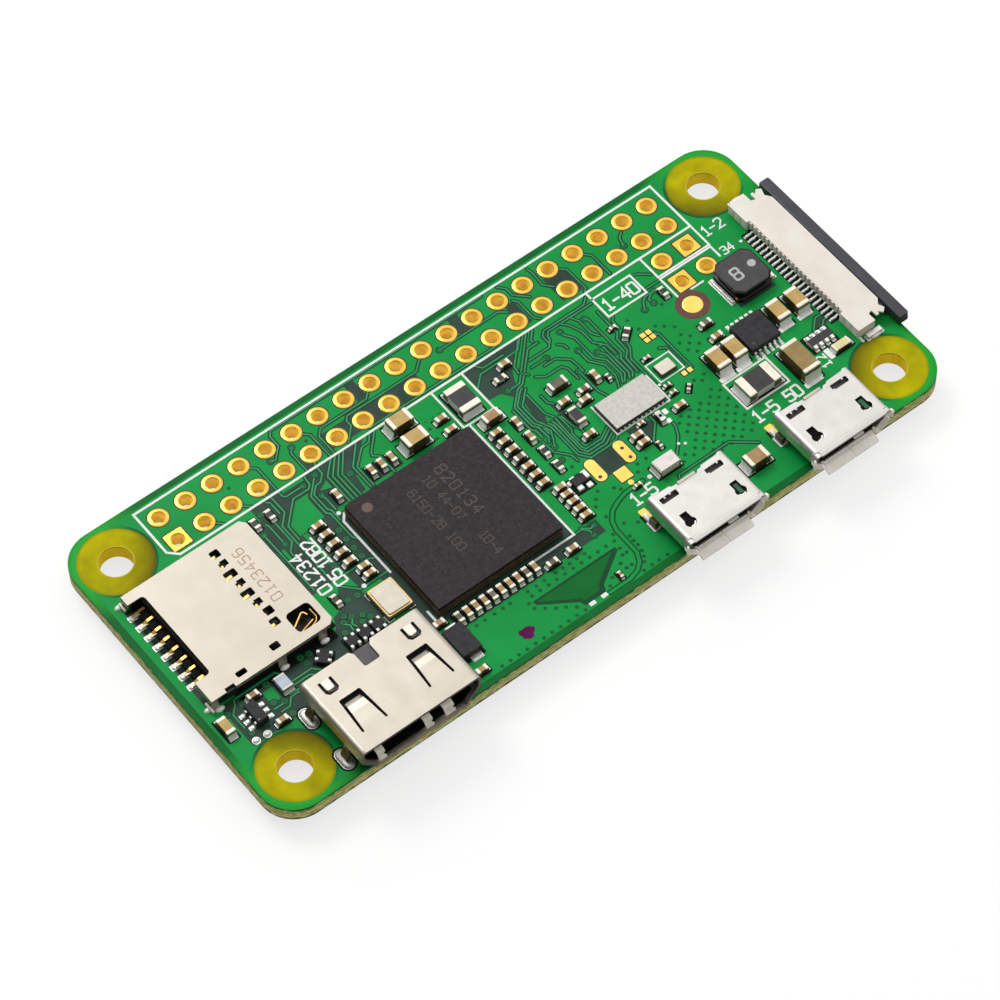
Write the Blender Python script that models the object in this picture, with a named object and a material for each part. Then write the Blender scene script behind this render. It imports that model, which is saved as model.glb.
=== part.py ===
"""Single board computer, 65 x 30 mm, as an assembly of separate solids.

The world origin is the centre of the board's outline, on its underside.
+X runs towards the ribbon cable connector, +Y towards the two-row header
holes, +Z is the component side.  Left and right are -X and +X, lower and
upper are -Y and +Y; both kinds of socket open towards -Y.

Shapes are drawn in millimetres, with heights measured from the board's
component face (z = 0).  put() lifts them by the board's thickness and
scales them to metres.
"""
import bpy
import bmesh
import math
from mathutils import Matrix, Vector

MM = 0.001


def spaced(middle, pitch, count):
    """Evenly spaced positions either side of a middle."""
    return [middle + (i - (count - 1) / 2) * pitch for i in range(count)]


# ---------------------------------------------------------------- shared sizes (mm)
BOARD_L, BOARD_W, BOARD_T, BOARD_R = 65.0, 30.0, 1.4, 3.0
UNDERSIDE = Vector((0, 0, -BOARD_T))
STANDOFF = 0.03                 # gap between a part and the board
OVERCUT = 1.0                   # how far a cutter runs past what it cuts

MOUNT_INSET, MOUNT_D = 3.5, 2.75
MOUNT_X, MOUNT_Y = BOARD_L / 2 - MOUNT_INSET, BOARD_W / 2 - MOUNT_INSET
SEAT_D, MASK_T = 6.1, 0.02      # bare screw seats lie one mask thickness deep
PITCH, PIN_HOLE_D = 2.54, 1.02
HEADER_X = spaced(0.0, PITCH, 20)
HEADER_Y = spaced(MOUNT_Y, PITCH, 2)

HDMI_X, HDMI_HALF, HDMI_H, HDMI_WALL = -20.1, 5.52, 3.17, 0.28
HDMI_FRONT, HDMI_BACK = -15.4, -7.7
HDMI_LEG_X, HDMI_LEG_Y = 5.66, (-8.85, -13.3)     # x is from the socket's middle

# ---------------------------------------------------------------- finishes
# Each finish: base colour, roughness, metallic.
PCB_GREEN = ((0.012, 0.33, 0.075), 0.35, 0.0)
SOC_BROWN = ((0.10, 0.06, 0.035), 0.5, 0.0)
RAM_CHARCOAL = ((0.045, 0.038, 0.041), 0.55, 0.0)
CORE_CHARCOAL = ((0.045, 0.038, 0.041), 0.35, 0.0)
CARD_STEEL = ((0.80, 0.77, 0.70), 0.35, 0.9)
HDMI_STEEL = ((0.80, 0.77, 0.70), 0.32, 0.95)
MICRO_STEEL = ((0.82, 0.81, 0.79), 0.28, 0.95)
BRIGHT_GOLD = ((0.90, 0.66, 0.18), 0.28, 1.0)
GOLD = ((0.90, 0.66, 0.18), 0.3, 1.0)
SILVER = ((0.78, 0.77, 0.74), 0.3, 1.0)
MATT_BLACK = ((0.025, 0.024, 0.027), 0.45, 0.0)
BLACK = ((0.025, 0.024, 0.027), 0.4, 0.0)
MATT_INK = ((0.016, 0.016, 0.02), 0.45, 0.0)
INK = ((0.016, 0.016, 0.02), 0.4, 0.0)
TAN = ((0.57, 0.35, 0.13), 0.4, 0.0)
CREAM = ((0.80, 0.76, 0.69), 0.5, 0.0)
SLATE = ((0.05, 0.052, 0.07), 0.4, 0.0)
FILTER_GREY = ((0.75, 0.68, 0.66), 0.45, 0.0)
LED_YELLOW = ((0.8, 0.72, 0.35), 0.35, 0.0)
RADIO_GREY = ((0.62, 0.62, 0.60), 0.35, 0.6)
RADIO_LID = ((0.8, 0.74, 0.66), 0.3, 0.8)
MAIN_BASE = ((0.45, 0.38, 0.25), 0.5, 0.0)
MAIN_LID = ((0.85, 0.80, 0.68), 0.3, 0.7)


# ---------------------------------------------------------------- outlines
def rect(x_min, x_max, y_min, y_max):
    return [(x_min, y_min), (x_max, y_min), (x_max, y_max), (x_min, y_max)]


def square(x, y, half):
    return rect(x - half, x + half, y - half, y + half)


def rounded_rect(x_min, x_max, y_min, y_max, radius, steps):
    corners = ((x_max - radius, y_min + radius, -90), (x_max - radius, y_max - radius, 0),
               (x_min + radius, y_max - radius, 90), (x_min + radius, y_min + radius, 180))
    points = []
    for x, y, start in corners:
        for i in range(steps + 1):
            angle = math.radians(start + 90.0 * i / steps)
            points.append((x + radius * math.cos(angle), y + radius * math.sin(angle)))
    return points


def circle(x, y, diameter, segments):
    angles = [2 * math.pi * i / segments for i in range(segments)]
    return [(x + diameter / 2 * math.cos(a), y + diameter / 2 * math.sin(a)) for a in angles]


def mirrored(half, middle):
    """Closed outline from its right half, given as (offset from middle, second axis)."""
    right = [(middle + x, y) for x, y in half]
    left = [(middle - x, y) for x, y in reversed(half)]
    return right + left


def chamfered_square(x, y, half, chamfer):
    flat = half - chamfer
    return mirrored([(flat, y - half), (half, y - flat), (half, y + flat), (flat, y + half)], x)


def bent_strip(path, thickness):
    """Outline of a bent strip of even thickness along a path of points."""
    points = [Vector(p) for p in path]
    normals = []
    for start, end in zip(points, points[1:]):
        direction = (end - start).normalized()
        normals.append(Vector((-direction.y, direction.x)))
    left, right = [], []
    for i, point in enumerate(points):
        before, after = normals[max(i - 1, 0)], normals[min(i, len(normals) - 1)]
        offset = (before + after).normalized()
        offset *= (thickness / 2) / max(offset.dot(before), 0.35)   # limits sharp mitres
        left.append(tuple(point + offset))
        right.append(tuple(point - offset))
    return left + right[::-1]


# ---------------------------------------------------------------- solids
def ring(outline, station, axis="z"):
    """Places an outline square to an axis, at one station along it."""
    if axis == "x":
        return [(station, y, z) for y, z in outline]
    if axis == "y":
        return [(x, station, z) for x, z in outline]
    return [(x, y, station) for x, y in outline]


def loft(sections):
    """Closed body through rings of equal point count, capped at both ends."""
    mesh = bmesh.new()
    rings = [[mesh.verts.new(p) for p in section] for section in sections]
    count = len(rings[0])
    mesh.faces.new(rings[0])
    mesh.faces.new(rings[-1])
    for low, high in zip(rings, rings[1:]):
        for i in range(count):
            j = (i + 1) % count
            mesh.faces.new((low[i], low[j], high[j], high[i]))
    bmesh.ops.recalc_face_normals(mesh, faces=mesh.faces)
    return mesh


def prism(outline, start, end, axis="z"):
    return loft([ring(outline, start, axis), ring(outline, end, axis)])


def box(x_min, x_max, y_min, y_max, z_min, z_max):
    return prism(rect(x_min, x_max, y_min, y_max), z_min, z_max)


def moulded(x_min, x_max, y_min, y_max, z_min, z_max, bevel=0.06):
    """Package with upright sides and a small bevel round the top."""
    layers = ((z_min, 0.0), (z_max - bevel, 0.0), (z_max, bevel))
    return loft([ring(rect(x_min + inset, x_max - inset, y_min + inset, y_max - inset), z)
                 for z, inset in layers])


def two_terminal(x, y, length, width, height, z, axis, end, proud=0.025):
    """Chip part along an axis: a body between two metal ends that stand proud of it."""
    body_inset = 0.025
    half = length / 2
    along, across = (x, y) if axis == "x" else (y, x)
    stations = ((-half, proud), (-half + end, proud), (-half + end, 0.0),
                (half - end, 0.0), (half - end, proud), (half, proud))
    rings = []
    for station, growth in stations:
        inset = body_inset - growth
        side = width / 2 - inset
        section = rect(across - side, across + side, z + inset, z + height - inset)
        rings.append(ring(section, along + station, axis))
    return loft(rings)


def strips(profile, centres, half_width, axis):
    """One profile extruded at each centre along an axis."""
    return [prism(profile, c - half_width, c + half_width, axis) for c in centres]


def join(meshes):
    joined = bmesh.new()
    for mesh in meshes:
        data = bpy.data.meshes.new("tmp")
        mesh.to_mesh(data)
        mesh.free()
        joined.from_mesh(data)
        bpy.data.meshes.remove(data)
    return joined


def combine(body, tool, operation):
    """EXACT Boolean of two closed meshes; both are used up."""
    objects = []
    for mesh in (body, tool):
        data = bpy.data.meshes.new("tmp")
        mesh.to_mesh(data)
        mesh.free()
        item = bpy.data.objects.new("tmp", data)
        bpy.context.scene.collection.objects.link(item)
        objects.append(item)
    modifier = objects[0].modifiers.new("bool", "BOOLEAN")
    modifier.operation = operation
    modifier.solver = "EXACT"
    modifier.object = objects[1]
    bpy.context.view_layer.update()
    depsgraph = bpy.context.evaluated_depsgraph_get()
    data = bpy.data.meshes.new_from_object(objects[0].evaluated_get(depsgraph))
    result = bmesh.new()
    result.from_mesh(data)
    bpy.data.meshes.remove(data)
    for item in objects:
        data = item.data
        bpy.data.objects.remove(item, do_unlink=True)
        bpy.data.meshes.remove(data)
    bmesh.ops.dissolve_degenerate(result, dist=1e-5, edges=result.edges)
    bmesh.ops.remove_doubles(result, verts=result.verts, dist=1e-5)
    return result


def cut(body, cutters):
    """Removes all the cutters in one Boolean."""
    return combine(body, join(cutters), "DIFFERENCE")


def cut_in_turn(body, cutters):
    """Removes the cutters one by one, for cutters that overlap each other."""
    for cutter in cutters:
        body = combine(body, cutter, "DIFFERENCE")
    return body


def fuse(body, parts):
    """Adds all the parts in one Boolean; they must not touch each other."""
    return combine(body, join(parts), "UNION")


def fuse_in_turn(body, parts):
    for part in parts:
        body = combine(body, part, "UNION")
    return body


# ---------------------------------------------------------------- objects
def make_material(name, finish):
    colour, roughness, metallic = finish
    material = bpy.data.materials.new(name)
    material.use_nodes = True
    inputs = material.node_tree.nodes["Principled BSDF"].inputs
    inputs["Base Color"].default_value = (*colour, 1.0)
    inputs["Roughness"].default_value = roughness
    inputs["Metallic"].default_value = metallic
    return material


def put(name, mesh, finish, smooth_angle=None, origin=UNDERSIDE):
    """Turns a millimetre mesh into a named object in metres with its own material."""
    bmesh.ops.recalc_face_normals(mesh, faces=mesh.faces)
    origin = Vector(origin)
    to_metres = Matrix.Scale(MM, 4) @ Matrix.Translation(-origin)
    bmesh.ops.transform(mesh, matrix=to_metres, verts=mesh.verts)
    data = bpy.data.meshes.new(name)
    mesh.to_mesh(data)
    mesh.free()
    if smooth_angle is not None:
        data.shade_smooth()
        data.set_sharp_from_angle(angle=math.radians(smooth_angle))
    item = bpy.data.objects.new(name, data)
    item.location = (origin - UNDERSIDE) * MM
    bpy.context.scene.collection.objects.link(item)
    data.materials.append(make_material(name + "_material", finish))


# ---------------------------------------------------------------- the board
def build_board():
    half_l, half_w = BOARD_L / 2, BOARD_W / 2
    board = prism(rounded_rect(-half_l, half_l, -half_w, half_w, BOARD_R, 10), -BOARD_T, 0.0)
    below, above = -BOARD_T - OVERCUT, OVERCUT
    holes, seats = [], []
    for x in (-MOUNT_X, MOUNT_X):
        for y in (-MOUNT_Y, MOUNT_Y):
            holes.append(circle(x, y, MOUNT_D, 32))
            seat = circle(x, y, SEAT_D, 32)
            seats.append(prism(seat, -MASK_T, above))
            seats.append(prism(seat, below, -BOARD_T + MASK_T))
    board = cut_in_turn(board, seats)

    pins = [(x, y) for x in HEADER_X for y in HEADER_Y]
    # a square of four more holes below the header's right end
    pins += [(x, HEADER_Y[0] - PITCH * i) for x in HEADER_X[-2:] for i in (1, 2)]
    holes += [circle(x, y, PIN_HOLE_D, 12) for x, y in pins]
    for side in (-1, 1):
        x = HDMI_X + side * HDMI_LEG_X
        for y in HDMI_LEG_Y:
            holes.append(rounded_rect(x - 0.4, x + 0.4, y - 0.85, y + 0.85, 0.38, 4))
    drills = [prism(hole, below, above) for hole in holes]
    put("pcb", cut(board, drills), PCB_GREEN, smooth_angle=30)


# ---------------------------------------------------------------- processor and memory
SOC_X, SOC_Y, SOC_HALF, SOC_CHAMFER = -6.8, -1.9, 6.0, 0.12
SOC_Z = 0.24
SOC_CAP = ((SOC_Z + 0.20, 4.0), (SOC_Z + 0.42, 3.9))      # height, half width
# memory package stacked above: height, inset of the side
RAM_LAYERS = ((0.70, 0.0), (0.84, 0.0), (0.84, 0.03), (1.17, 0.03), (1.20, 0.06))


def build_soc():
    outline = chamfered_square(SOC_X, SOC_Y, SOC_HALF, SOC_CHAMFER)
    base = prism(outline, SOC_Z, SOC_Z + 0.24)
    cap = loft([ring(square(SOC_X, SOC_Y, half), z) for z, half in SOC_CAP])
    put("soc_package", fuse_in_turn(base, [cap]), SOC_BROWN)


def build_ram():
    rings = [ring(chamfered_square(SOC_X, SOC_Y, SOC_HALF - inset, SOC_CHAMFER), z)
             for z, inset in RAM_LAYERS]
    put("ram_package", loft(rings), RAM_CHARCOAL)


# ---------------------------------------------------------------- memory card socket
# The card enters from the left.
CARD_LEFT, CARD_RIGHT, CARD_LOWER, CARD_UPPER = -31.0, -19.55, -3.9, 7.9
CARD_H, CARD_SHEET = 1.35, 0.15
CARD_UNDER = CARD_H - CARD_SHEET                          # underside of the top sheet
CARD_PIN_Y = [6.55 - 1.1 * i for i in range(8)]
CARD_PIN_HALF, CARD_GROOVE_HALF = 0.2, 0.34
# x and z along one spring contact, from its solder tail on the left
CARD_SPRING = [(-31.25, 0.1), (-30.35, 0.1), (-30.1, 0.22), (-28.9, 0.22),
               (-24.2, 0.34), (-23.35, 0.38), (-22.85, 0.28)]
# card detect switch: x and y along each blade
LEVER_PATH = [(-22.2, -2.32), (-21.6, -1.92), (-21.05, -1.56), (-20.85, -1.62),
              (-20.74, -1.98)]
FIXED_PATH = [(-20.62, -2.62), (-21.4, -2.78), (-22.05, -2.93), (-22.05, -3.06),
              (-21.4, -3.1), (-20.6, -3.12)]
SWITCH_TOP = 1.08


def card_windows():
    """Outlines of the openings in the top sheet."""
    windows = [rounded_rect(CARD_LEFT - 1.2, -29.55, -1.7, 6.9, 0.3, 3)]    # thumb cut-out
    for i, y in enumerate(CARD_PIN_Y):
        # the third and fifth windows are longer, the seventh sits further right
        left = -23.78 if i in (2, 4) else -23.52
        shift = 0.22 if i == 6 else 0.0
        windows.append(rounded_rect(left + shift, -22.75 + shift, y - 0.33, y + 0.39, 0.12, 2))
    windows.append(rounded_rect(-22.3, -20.15, -3.15, -1.15, 0.4, 4))       # above the switch
    windows.append(rounded_rect(-24.8, -24.0, -3.15, -2.55, 0.12, 2))
    windows.append(rounded_rect(-28.2, -27.3, -3.42, -2.93, 0.12, 2))
    windows.append(rect(-29.6, -28.75, -4.2, -3.55))                        # edge notch
    return windows


def build_card_shell():
    plate = prism([(CARD_LEFT, CARD_LOWER), (-20.0, CARD_LOWER), (CARD_RIGHT, -3.5),
                   (CARD_RIGHT, 7.4), (-19.95, CARD_UPPER), (CARD_LEFT, CARD_UPPER)],
                  CARD_UNDER, CARD_H)
    sheet = cut(plate, [prism(window, CARD_UNDER - OVERCUT, CARD_H + OVERCUT)
                        for window in card_windows()])
    wall_top = CARD_H - 0.02
    lower_in = CARD_LOWER + CARD_SHEET
    foot_y = (CARD_LOWER - 0.02, lower_in)
    foot_z = (STANDOFF, CARD_H - 0.1)
    tab_x = (CARD_LEFT - 0.2, CARD_LEFT + 0.05)
    tab_z = (STANDOFF, 0.38)
    walls = [
        box(CARD_LEFT, -19.95, CARD_UPPER - CARD_SHEET, CARD_UPPER, STANDOFF, wall_top),
        box(-28.75, -20.0, CARD_LOWER, lower_in, 0.95, wall_top),           # short flange
        box(CARD_RIGHT - CARD_SHEET, CARD_RIGHT, -3.4, 7.3, 0.45, wall_top),
        box(-24.9, -24.1, *foot_y, *foot_z),
        box(-21.15, -20.35, *foot_y, *foot_z),
        box(CARD_LEFT, -30.4, CARD_LOWER, lower_in, STANDOFF, wall_top),    # corner leg
        box(*tab_x, -4.2, -3.1, *tab_z),          # solder tabs either side of the mouth
        box(*tab_x, 7.2, 8.1, *tab_z),
    ]
    put("sd_shell", fuse_in_turn(sheet, walls), CARD_STEEL)


def build_card_housing():
    left, right, lower, upper, rail = -30.15, -19.8, -3.7, 7.7, 0.18
    floor, rail_top, cut_top = 0.1, CARD_UNDER - 0.05, 2
    base = box(left, right, lower, upper, STANDOFF, 0.34)
    rails = [box(left, right, upper - rail, upper, floor, rail_top),
             box(left, right, lower, lower + rail, floor, 0.9),
             box(right - rail, right, -3.6, 7.6, floor, rail_top)]
    cuts = [box(-29.72, -28.9, -1.75, 7.15, floor, cut_top)]      # trough across the contacts
    for y in CARD_PIN_Y:
        groove = (y - CARD_GROOVE_HALF, y + CARD_GROOVE_HALF)
        cuts.append(box(-30.5, -29.6, *groove, -0.5, cut_top))
        cuts.append(box(-29.0, -22.5, *groove, floor, cut_top))
    cuts.append(box(-22.45, -20.05, -3.3, -1.0, 0.16, cut_top))   # switch pocket
    put("sd_housing", cut_in_turn(fuse_in_turn(base, rails), cuts), MATT_INK)


def build_card_contacts():
    """Eight spring contacts joined by one strip moulded into the base."""
    strip = box(-29.55, -29.1, CARD_PIN_Y[-1] - CARD_PIN_HALF, CARD_PIN_Y[0] + CARD_PIN_HALF,
                0.17, 0.27)
    springs = strips(bent_strip(CARD_SPRING, 0.11), CARD_PIN_Y, CARD_PIN_HALF, "y")
    put("sd_contacts", fuse(strip, springs), BRIGHT_GOLD)


def build_card_switch():
    """A bent blade, with its origin at its fixed end, beside a folded fixed blade."""
    lever = prism(bent_strip(LEVER_PATH, 0.12), 0.5, SWITCH_TOP)
    put("sd_detect_lever", lever, BRIGHT_GOLD, origin=(*LEVER_PATH[0], 0.8))
    fixed = prism(bent_strip(FIXED_PATH, 0.1), 0.3, SWITCH_TOP)
    put("sd_detect_contact", fixed, BRIGHT_GOLD)


# ---------------------------------------------------------------- video socket
# Half outlines of slots in the shell's top: offset from the slot's middle, y.
HDMI_REAR_SLOT = [(0.6, -9.45), (0.72, -9.3), (0.72, -8.1), (1.0, HDMI_BACK),
                  (1.0, HDMI_BACK + OVERCUT)]
HDMI_TAB_SLOT = [(0.37, -9.35), (0.37, -8.45), (0.62, -8.45), (0.62, -9.6), (0.42, -9.85)]
HDMI_GRIP_SLOT = [(0.95, -10.62), (1.18, -13.85), (0.93, -13.85), (0.68, -10.95)]
HDMI_BLOCK = [(3.75, 0.66), (4.95, 1.98), (4.95, 2.8)]    # half section: offset, z
# y and z round one contact of each row
HDMI_UPPER_PIN = [(-14.2, 2.06), (-14.0, 2.18), (-8.65, 2.18), (-8.65, 2.06)]
HDMI_LOWER_PIN = [(-14.0, 1.24), (-8.75, 1.24), (-8.75, 0.05), (-7.3, 0.05),
                  (-7.3, 0.17), (-8.6, 0.17), (-8.6, 1.36), (-14.2, 1.36)]
HDMI_PIN_PITCH, HDMI_PIN_HALF = 0.8, 0.12


def across_hdmi(half):
    return HDMI_X - half, HDMI_X + half


def hdmi_section(inset):
    """Shell section, x and z, with sloping lower corners."""
    half = HDMI_HALF - inset
    low, high = 0.30 + inset, HDMI_H - inset
    slope_x, slope_z = 1.35 - inset * 0.41, 1.5 - inset * 0.41
    corner = 0.12 if inset else 0.28
    return mirrored([(half - slope_x, low), (half, low + slope_z),
                     (half, high - corner), (half - corner, high)], HDMI_X)


def build_hdmi_shell():
    hollow = prism(hdmi_section(HDMI_WALL), HDMI_FRONT - OVERCUT, HDMI_BACK + OVERCUT, "y")
    shell = cut(prism(hdmi_section(0.0), HDMI_FRONT, HDMI_BACK, "y"), [hollow])

    slots = [mirrored(HDMI_REAR_SLOT, HDMI_X)]
    for side in (-1, 1):
        slots.append(mirrored(HDMI_TAB_SLOT, HDMI_X + side * 3.83))    # frees a rear tab
        slots.append(mirrored(HDMI_GRIP_SLOT, HDMI_X + side * 3.1))    # frees a sprung tongue
    cuts = [prism(slot, HDMI_H - OVERCUT, HDMI_H + OVERCUT) for slot in slots]
    cuts.append(box(*across_hdmi(4.05), -9.0, HDMI_BACK + OVERCUT, -0.5, 0.75))
    shell = cut(shell, cuts)

    legs = []
    for side in (-1, 1):
        wall_x = HDMI_X + side * (HDMI_HALF - HDMI_WALL / 2)
        leg_x = HDMI_X + side * HDMI_LEG_X
        path = [(wall_x, 1.9), (wall_x, 1.0), (leg_x, 0.55), (leg_x, -BOARD_T - 0.35)]
        legs += strips(bent_strip(path, 0.27), HDMI_LEG_Y, 0.6, "y")
    put("hdmi_shell", fuse_in_turn(shell, legs), HDMI_STEEL, smooth_angle=25)


def build_hdmi_insulator():
    """Moulded block with a tongue, recessed above and below for the contacts."""
    block = prism(mirrored(HDMI_BLOCK, HDMI_X), -10.6, -7.95, "y")
    tongue_low, tongue_high, recess = 1.42, 2.02, 0.24
    tongue = box(*across_hdmi(4.15), -14.7, -10.5, tongue_low, tongue_high)
    cuts = [box(*across_hdmi(3.75), -11, -7, tongue_high, 2.26),
            box(*across_hdmi(3.6), -11, -7, tongue_low - recess, tongue_low),
            box(*across_hdmi(3.78), -8.95, -7, -0.5, 2.26)]
    put("hdmi_insulator", cut_in_turn(fuse_in_turn(block, [tongue]), cuts), MATT_INK)


def build_hdmi_contacts():
    back = box(*across_hdmi(3.7), -8.75, -8.6, 1.28, 2.18)
    pins = []
    for profile, count in ((HDMI_UPPER_PIN, 10), (HDMI_LOWER_PIN, 9)):
        centres = spaced(HDMI_X, HDMI_PIN_PITCH, count)
        pins += strips(profile, centres, HDMI_PIN_HALF, "x")
    put("hdmi_contacts", fuse(back, pins), GOLD)


# ---------------------------------------------------------------- micro USB sockets
MICRO_SOCKETS = (("usb", 8.9), ("power", 21.5))           # name prefix, middle x
MICRO_HALF, MICRO_H, MICRO_WALL = 3.75, 2.45, 0.22
MICRO_FRONT, MICRO_BACK = -15.35, -10.5
# half outline of a T-shaped slot in the top: offset, y
MICRO_SLOT = [(0.37, -13.2), (0.37, -14.0), (0.5, -14.1), (0.5, -14.5)]
MICRO_BLOCK = [(2.35, 0.36), (3.25, 1.25), (3.25, 2.1)]   # half section: offset, z
# flared lips: offset, y for a side lip; y, z for the lower and upper lips
MICRO_SIDE_LIP = [(MICRO_HALF - MICRO_WALL, -15.2), (MICRO_HALF, -15.2),
                  (MICRO_HALF + 0.4, -15.85), (MICRO_HALF + 0.2, -15.95),
                  (MICRO_HALF - MICRO_WALL, -15.34)]
MICRO_LOWER_LIP = [(-15.1, STANDOFF), (-15.1, STANDOFF + MICRO_WALL),
                   (-15.4, STANDOFF + MICRO_WALL), (-16.2, -0.24), (-16.1, -0.42),
                   (-15.3, STANDOFF)]
MICRO_UPPER_LIP = [(-15.2, MICRO_H), (-15.2, MICRO_H - MICRO_WALL),
                   (-15.34, MICRO_H - MICRO_WALL), (-15.85, MICRO_H - 0.12),
                   (-15.8, MICRO_H + 0.06)]
MICRO_PIN = [(-14.6, 1.14), (-10.72, 1.14), (-10.72, 0.04), (-9.75, 0.04),
             (-9.75, 0.18), (-10.6, 0.18), (-10.6, 1.26), (-14.5, 1.26)]    # y, z


def micro_section(middle, inset):
    """Shell section, x and z, with sloping lower corners."""
    half = MICRO_HALF - inset
    low, high = STANDOFF + inset, MICRO_H - inset
    slope_x, slope_z = 1.05 - inset * 0.41, 1.0 - inset * 0.41
    corner = 0.35 - inset * 0.6
    return mirrored([(half - slope_x, low), (half, low + slope_z), (half, high - corner),
                     (half - corner * 0.3, high - corner * 0.3), (half - corner, high)], middle)


def micro_lips(middle):
    """Lips flared outwards round the mouth, and side tabs soldered to the board."""
    lips = []
    for side in (-1, 1):
        lip = [(middle + side * offset, y) for offset, y in MICRO_SIDE_LIP]
        lips.append(prism(lip, 1.15, 2.0))
        lips.append(box(middle + side * (MICRO_HALF - 0.2), middle + side * (MICRO_HALF + 0.22),
                        -11.9, -11.1, STANDOFF, 1.15))
    lips.append(prism(MICRO_LOWER_LIP, middle - 2.68, middle + 2.45, "x"))
    lips.append(prism(MICRO_UPPER_LIP, middle - 2.9, middle + 2.9, "x"))
    return lips


def build_micro_shell(prefix, middle):
    hollow = prism(micro_section(middle, MICRO_WALL),
                   MICRO_FRONT - OVERCUT, MICRO_BACK + OVERCUT, "y")
    shell = cut(prism(micro_section(middle, 0.0), MICRO_FRONT, MICRO_BACK, "y"), [hollow])
    top_z = (MICRO_H - 0.7, MICRO_H + OVERCUT)
    back = MICRO_BACK + OVERCUT
    cuts = [box(middle - 2.6, middle + 2.6, -10.9, back, 1.2, top_z[1]),
            box(middle - 3.05, middle - 1.4, -11.7, -11.15, *top_z),
            box(middle + 1.4, middle + 3.0, -11.7, -11.15, *top_z),
            box(middle - 1.85, middle + 1.85, -11.0, back, -0.5, 0.6)]
    for side, shift in ((-1, 0.0), (1, -0.15)):
        slot = [(offset, y + shift) for offset, y in MICRO_SLOT]
        cuts.append(prism(mirrored(slot, middle + side * 2.4), *top_z))
    shell = fuse_in_turn(cut(shell, cuts), micro_lips(middle))
    put(prefix + "_shell", shell, MICRO_STEEL, smooth_angle=25)


def build_micro_insulator(prefix, middle):
    block = prism(mirrored(MICRO_BLOCK, middle), -12.4, -10.98, "y")
    tongue_x = (middle - 1.85, middle + 1.85)
    tongue_low, tongue_high = 1.32, 1.9
    tongue = box(*tongue_x, -14.9, -12.3, tongue_low, tongue_high)
    cuts = [box(*tongue_x, -12.5, -10.9, 1.06, tongue_low),
            box(middle - 2.9, middle + 2.9, -11.8, -10.9, tongue_high, 2.2)]
    put(prefix + "_insulator", cut_in_turn(fuse_in_turn(block, [tongue]), cuts), INK)


def build_micro_contacts(prefix, middle):
    web = box(middle - 1.7, middle + 1.7, -12.0, -11.7, 1.14, 1.26)
    pins = strips(MICRO_PIN, spaced(middle, 0.65, 5), 0.17, "x")
    put(prefix + "_contacts", fuse(web, pins), GOLD)


# ---------------------------------------------------------------- ribbon cable connector
FPC_Y, FPC_WAYS, FPC_PITCH = 0.1, 22, 0.5
FPC_MOUTH_HALF = 6.1
FPC_OUTLINE = [
    (29.1, -5.6), (29.1, 5.8), (28.78, 5.85), (28.78, 8.12), (30.55, 8.12), (30.55, 7.3),
    (30.95, 7.3), (30.95, 8.12), (32.1, 8.12), (32.1, -7.9), (30.95, -7.9), (30.95, -7.1),
    (30.55, -7.1), (30.55, -7.9), (28.78, -7.9), (28.78, -5.65)]
FPC_BAR = [(32.2, -8.9), (33.05, -8.9), (33.15, -8.75), (33.15, 8.2), (33.05, 8.35),
           (32.2, 8.35)]
FPC_WEDGE = ((30.3, 0.68, 0.78), (31.2, 0.62, 0.88), (32.5, 0.62, 0.88))  # x, low z, high z
FPC_PIN = [(28.3, 0.04), (28.95, 0.04), (29.1, 0.10), (31.4, 0.10), (31.4, 0.22),
           (28.95, 0.22), (28.8, 0.14), (28.3, 0.14)]                     # x, z
# name, then y of the base, the shoulders and the tip
FPC_ANCHORS = (("fpc_anchor_upper", 8.2, 8.6, 8.75), ("fpc_anchor_lower", -7.98, -8.4, -8.5))


def across_fpc(half):
    return FPC_Y - half, FPC_Y + half


def build_fpc_housing():
    cuts = [box(29.55, 33.0, *across_fpc(FPC_MOUTH_HALF), 0.36, 0.92),    # ribbon mouth
            box(28.5, 31.7, *across_fpc(5.65), -0.5, 0.30)]               # contact recess
    for side in (1, -1):                                                  # latch arm slots
        cuts.append(box(31.1, 33.0, FPC_Y + side * 6.45, FPC_Y + side * 7.2, 0.30, 0.80))
    put("fpc_housing", cut_in_turn(prism(FPC_OUTLINE, STANDOFF, 1.1), cuts), CREAM)


def build_fpc_latch():
    """Sliding latch: outer bar, thin wedge into the mouth, two guide arms."""
    bar = prism(FPC_BAR, 0.12, 1.06)
    bar = cut_in_turn(bar, [box(32.0, 33.4, *across_fpc(FPC_MOUTH_HALF), -0.2, 0.60)])
    wedge = loft([ring(rect(*across_fpc(5.95), low, high), x, "x") for x, low, high in FPC_WEDGE])
    arms = [box(31.3, 32.5, FPC_Y + side * 6.55, FPC_Y + side * 7.1, 0.36, 0.74)
            for side in (1, -1)]
    put("fpc_latch", fuse_in_turn(bar, [wedge] + arms), SLATE)


def build_fpc_metal():
    web = box(30.0, 30.35, *across_fpc(5.45), 0.10, 0.22)
    pins = strips(FPC_PIN, spaced(FPC_Y, FPC_PITCH, FPC_WAYS), 0.11, "y")
    put("fpc_contacts", fuse(web, pins), SILVER)
    for name, base, shoulder, tip in FPC_ANCHORS:
        outline = [(29.4, base), (30.9, base), (30.9, shoulder), (30.6, tip), (29.6, tip),
                   (29.4, shoulder)]
        put(name, prism(outline, STANDOFF, 0.35), SILVER)


# ---------------------------------------------------------------- inductor and regulators
INDUCTOR_X, INDUCTOR_Y = 25.45, 2.3
# height, half width, corner chamfer
INDUCTOR_LAYERS = ((0.09, 1.85, 0.45), (0.35, 1.85, 0.45), (0.42, 1.68, 0.55),
                   (0.95, 1.68, 0.55), (1.02, 1.85, 0.55), (1.14, 1.85, 0.55),
                   (1.20, 1.72, 0.55))
LEAD_Z = 0.02


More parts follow.
